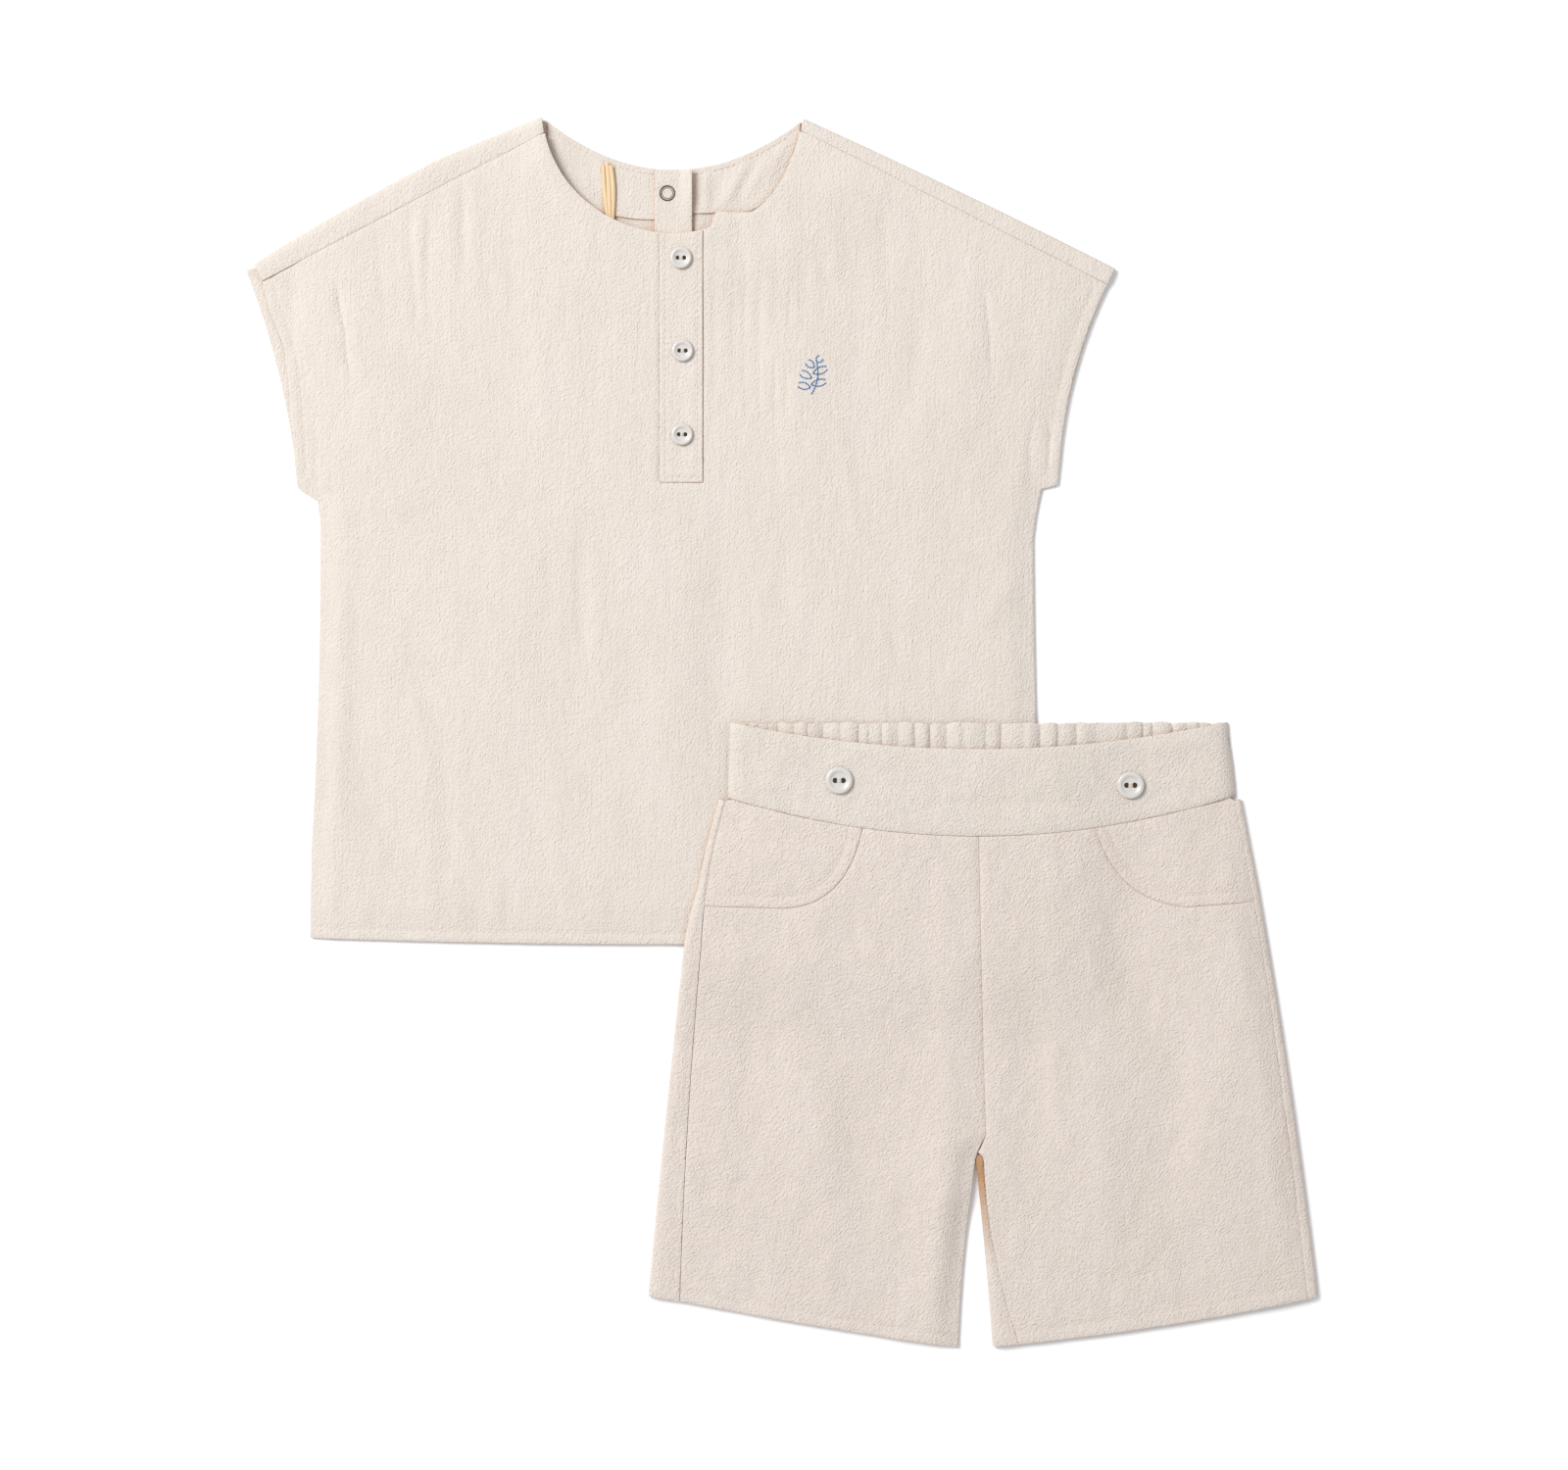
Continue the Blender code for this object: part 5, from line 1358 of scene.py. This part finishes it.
for side, outline in shorts_outlines.items():
    edge = pocket_edge(side)
    inward = -1.0 if side == "left" else 1.0
    free_run = edge[is_inside(outline, edge)]
    cuts = [beside(hem_runs[side], depth)[2:-2] for depth in HEM_CUTS]
    cuts += [beside(free_run, inward * depth)[2:-2] for depth in (-0.9, -0.3, 0.4)]
    flat, faces = filled(outline, 2.2, cuts)
    surface = (lifted(flat, shorts_front_surface), faces)
    front = cloth(f"shorts_front_{side}_cloth", surface, SHORTS_AT, shorts_crepe)
    sewn_in(front, [f"shorts_front_{side}"])

    lines = [beside(free_run, inward * depth)[1:-2] for depth in (1.2, 4.6, 5.5, 6.4)]
    flat, faces = filled(outline, 2.2, [edge, *lines])
    centres = np.array([flat[list(f)].mean(0) for f in faces])
    kept = [faces[i] for i in np.flatnonzero(is_inside(pocket_area(side), centres))]
    surface = (lifted(flat, pocket_surface), kept)
    pocket = cloth(f"pocket_{side}_cloth", surface, SHORTS_AT, shorts_crepe, SEWN_ON_WALL)
    sewn_in(pocket, [f"shorts_pocket_{side}"])
    shorts_rows.append((beside(free_run, inward * POCKET_ROW)[1:-1], upper_side(pocket_surface)))
    shorts_rows.append((beside(hem_runs[side], HEM_DEPTH)[1:-1], upper_side(shorts_front_surface)))
shorts_stitches = stitched("shorts_stitches", shorts_rows, cream_thread, SHORTS_AT)


# Back waistband. A casing of the same crepe over a wide elastic, which gathers it into rounded
# puffs with deep creases between. Only its upper edge shows behind the front band.

BACK_BAND_TOP_Y = 203.9
BACK_BAND_ENDS = (-115.6, 115.0)
# Each crease between two puffs: x, share of the full depth
GATHER_CREASES = (
    (-108.1, 0.6), (-103.5, 0.5), (-98.9, 0.6), (-94.8, 1.0), (-88.0, 0.5), (-81.4, 0.4), (-73.1, 1.0),
    (-64.9, 0.5), (-57.5, 0.6), (-52.9, 0.4), (-46.0, 0.85), (-37.7, 0.7), (-30.8, 0.6), (-24.2, 1.15),
    (-15.6, 0.95), (-7.1, 0.4), (2.3, 0.5), (9.1, 1.15), (21.5, 0.4), (28.5, 1.0), (35.8, 0.8),
    (44.9, 0.9), (56.0, 0.45), (68.5, 0.4), (76.4, 0.7), (81.4, 1.0), (91.0, 0.9), (96.6, 0.5),
    (102.6, 0.7), (109.0, 0.6),
)
GATHER_HEIGHT = 2.2
GATHER_FULL_WIDTH = 8.0
GATHER_FOOT = 0.7
GATHERS = np.array([(BACK_BAND_ENDS[0], 1.0), *GATHER_CREASES, (BACK_BAND_ENDS[1], 1.0)])


def gather_height(x):
    """One rounded puff between each two creases, lower where the creases are close."""
    creases, depths = GATHERS.T
    cell = np.clip(np.searchsorted(creases, x, side="right") - 1, 0, len(creases) - 2)
    width = creases[cell + 1] - creases[cell]
    t = (x - creases[cell]) / width
    lean = 0.18 * np.sin(cell * 2.4)
    puff = np.sin(np.pi * np.clip(t + lean * np.sin(np.pi * t), 0.0, 1.0)) ** 0.7
    puff = 1.0 - np.interp(x, creases, depths) * (1.0 - puff)
    fullness = np.minimum(1.0, width / GATHER_FULL_WIDTH) * (0.78 + 0.22 * np.sin(cell * 1.7))
    return GATHER_HEIGHT * puff * fullness


at = np.arange(10 * (len(GATHERS) - 1) + 1) / 10.0
x = np.interp(at, np.arange(len(GATHERS)), GATHERS[:, 0])
band_rows = np.concatenate([np.linspace(0.0, 0.9, 12), [0.93, 0.96, 0.98, 1.0]])
foot = waist_y(x) + 0.3
points = []
for t in band_rows:
    along_crest = np.column_stack([x, np.zeros(len(x))])
    crest_y = BACK_BAND_TOP_Y + 0.55 * rumple(along_crest, 4.5, 50.0, 83)
    crest_y -= 0.7 * (1.0 - gather_height(x) / GATHER_HEIGHT)
    y = foot + (crest_y - foot) * t
    flat = np.column_stack([x + 0.7 * t * np.sin(x / 5.0), y])
    rolled = math.sqrt(1.0 - max(0.0, (t - 0.9) / 0.1) ** 2 * 0.6)
    rise = rest_height(flat) + GATHER_FOOT + gather_height(x) * (0.45 + 0.55 * t) * rolled
    points.append(np.column_stack([flat, rise + 0.12 * rumple(flat, 3.0, 8.0, 81)]))
gathers = (np.concatenate(points), grid_faces(len(band_rows), len(x)))
band_crepe = crinkled_crepe("cotton_crepe_band", -38.0, 0.12, 0.85)
back_band_cloth = cloth("back_band_cloth", gathers, SHORTS_AT, band_crepe)
sewn_in(
    back_band_cloth, ["shorts_band_back"],
)


# Front waistband. A smooth doubled band, rolled down to the back band at both ends, sewn to the
# fronts along the curved waist seam. Two buttons stand on it for show.

BAND_WALL = 1.5
BAND_TOP_Y = 204.9
BAND_TOP_DIP = 13.7
BAND_LEFT = (-117.9, -116.8)
BAND_RIGHT = (119.6, 116.0)
BAND_EDGE_LIFT = 1.5
BAND_ROLL = 9.0
# Where edges follow the roll at the band's ends, in shares of it
BAND_ROLL_CUTS = (0.05, 0.12, 0.22, 0.35, 0.5, 0.7)
SHORTS_BUTTONS = {"left": (-66.2, 176.6), "right": (70.4, 174.3)}
SHORTS_BUTTON_RADIUS = 6.4
BAND_CREASES = (
    (-112.0, 195.0, -98.0, 178.0, 2.0, 4.0, -0.6),
    (-108.0, 186.0, -90.0, 170.0, 2.0, 4.0, 0.5),
    (-100.0, 196.0, -84.0, 186.0, -1.0, 4.0, 0.4),
    (-30.0, 164.0, 60.0, 164.0, -2.0, 3.0, -0.45),
    (-26.0, 180.0, 6.0, 183.0, 1.0, 7.0, 0.35),
    (20.0, 186.0, 44.0, 178.0, 1.0, 4.0, 0.3),
    (80.0, 190.0, 104.0, 196.0, -1.0, 5.0, 0.4),
    (84.0, 182.0, 112.0, 184.0, 1.0, 5.0, -0.35),
)


def band_top_y(x):
    return waist_y(x, BAND_TOP_Y, BAND_TOP_DIP)


def band_height(flat):
    """Middle of the front band's wall: level over the gathers, rolled down to the back band at both ends."""
    t = (flat[:, 1] - WAIST_END_Y) / (BAND_TOP_Y - WAIST_END_Y)
    left = BAND_LEFT[0] + (BAND_LEFT[1] - BAND_LEFT[0]) * t
    right = BAND_RIGHT[0] + (BAND_RIGHT[1] - BAND_RIGHT[0]) * t
    from_end = np.minimum(flat[:, 0] - left, right - flat[:, 0])
    inward = 1.0 - np.clip(from_end / BAND_ROLL, 0.0, 1.0)
    level = BAND_EDGE_LIFT + (BAND_LIFT - BAND_EDGE_LIFT) * np.sqrt(1.0 - inward**2)
    return rest_height(flat) + level + BAND_WALL / 2.0


def band_surface(flat):
    """The band as it lies: its upper edge and its seam edge rounded, with a few pressed dents."""
    down = band_top_y(flat[:, 0]) - flat[:, 1]
    up = flat[:, 1] - waist_y(flat[:, 0])
    rounded = 0.45 * (smooth(down / 2.2) + smooth(up / 2.0) - 2.0)
    ends = np.minimum(flat[:, 0] - BAND_LEFT[0], BAND_RIGHT[0] - flat[:, 0])
    turn = 1.0 - np.clip((BAND_RIGHT[0] - 3.6 * smooth(up / 34.0) - flat[:, 0]) / 5.0, 0.0, 1.0)
    rounded -= 2.4 * (1.0 - np.sqrt(1.0 - turn**2))
    ripples = 0.16 * rumple(flat, 14.0, 12.0, 91) + 0.08 * rumple(flat, 4.0, 6.0, 92)
    relief = (creases_at(flat, BAND_CREASES) + ripples) * smooth(ends / 12.0) * smooth(down / 4.0)
    return np.maximum(band_height(flat) + rounded + relief, BAND_WALL / 2.0 + 0.05)


foot = along_x(BAND_LEFT[0], BAND_RIGHT[0], waist_y) + np.array([0.0, 0.15])
top = along_x(BAND_RIGHT[1], BAND_LEFT[1], band_top_y)
outline = ring(foot, bowed(foot[-1], top[0], 0.3, 14)[1:], top, bowed(top[-1], foot[0], 0.0, 14)[1:])
cuts = []
for end, sign in ((BAND_LEFT, 1.0), (BAND_RIGHT, -1.0)):
    for inset in BAND_ROLL_CUTS:
        low_x, high_x = (end[k] + sign * inset * BAND_ROLL for k in (0, 1))
        low_y, high_y = waist_y(low_x) + 1.0, band_top_y(high_x) - 0.8
        cuts.append(np.concatenate([bowed((low_x, low_y), (high_x, high_y), 0.0, 14), [(high_x, high_y)]]))
cuts += [beside(foot, 1.0)[2:-2], beside(top, 1.1)[2:-2]]
flat, faces = filled(outline, 2.2, cuts)
surface = (lifted(flat, band_surface), faces)
front_band_cloth = cloth("front_band_cloth", surface, SHORTS_AT, band_crepe, BAND_WALL)
sewn_in(front_band_cloth, ["shorts_band_front"])

for side, (x, y) in SHORTS_BUTTONS.items():
    seat = band_surface(np.array([(x, y)]))[0] + BAND_WALL / 2.0
    sewn_button(
        f"button_shorts_{side}", SHORTS_BUTTON_RADIUS, (x, y, seat), SHORTS_AT, f"shorts_button_{side}"
    )
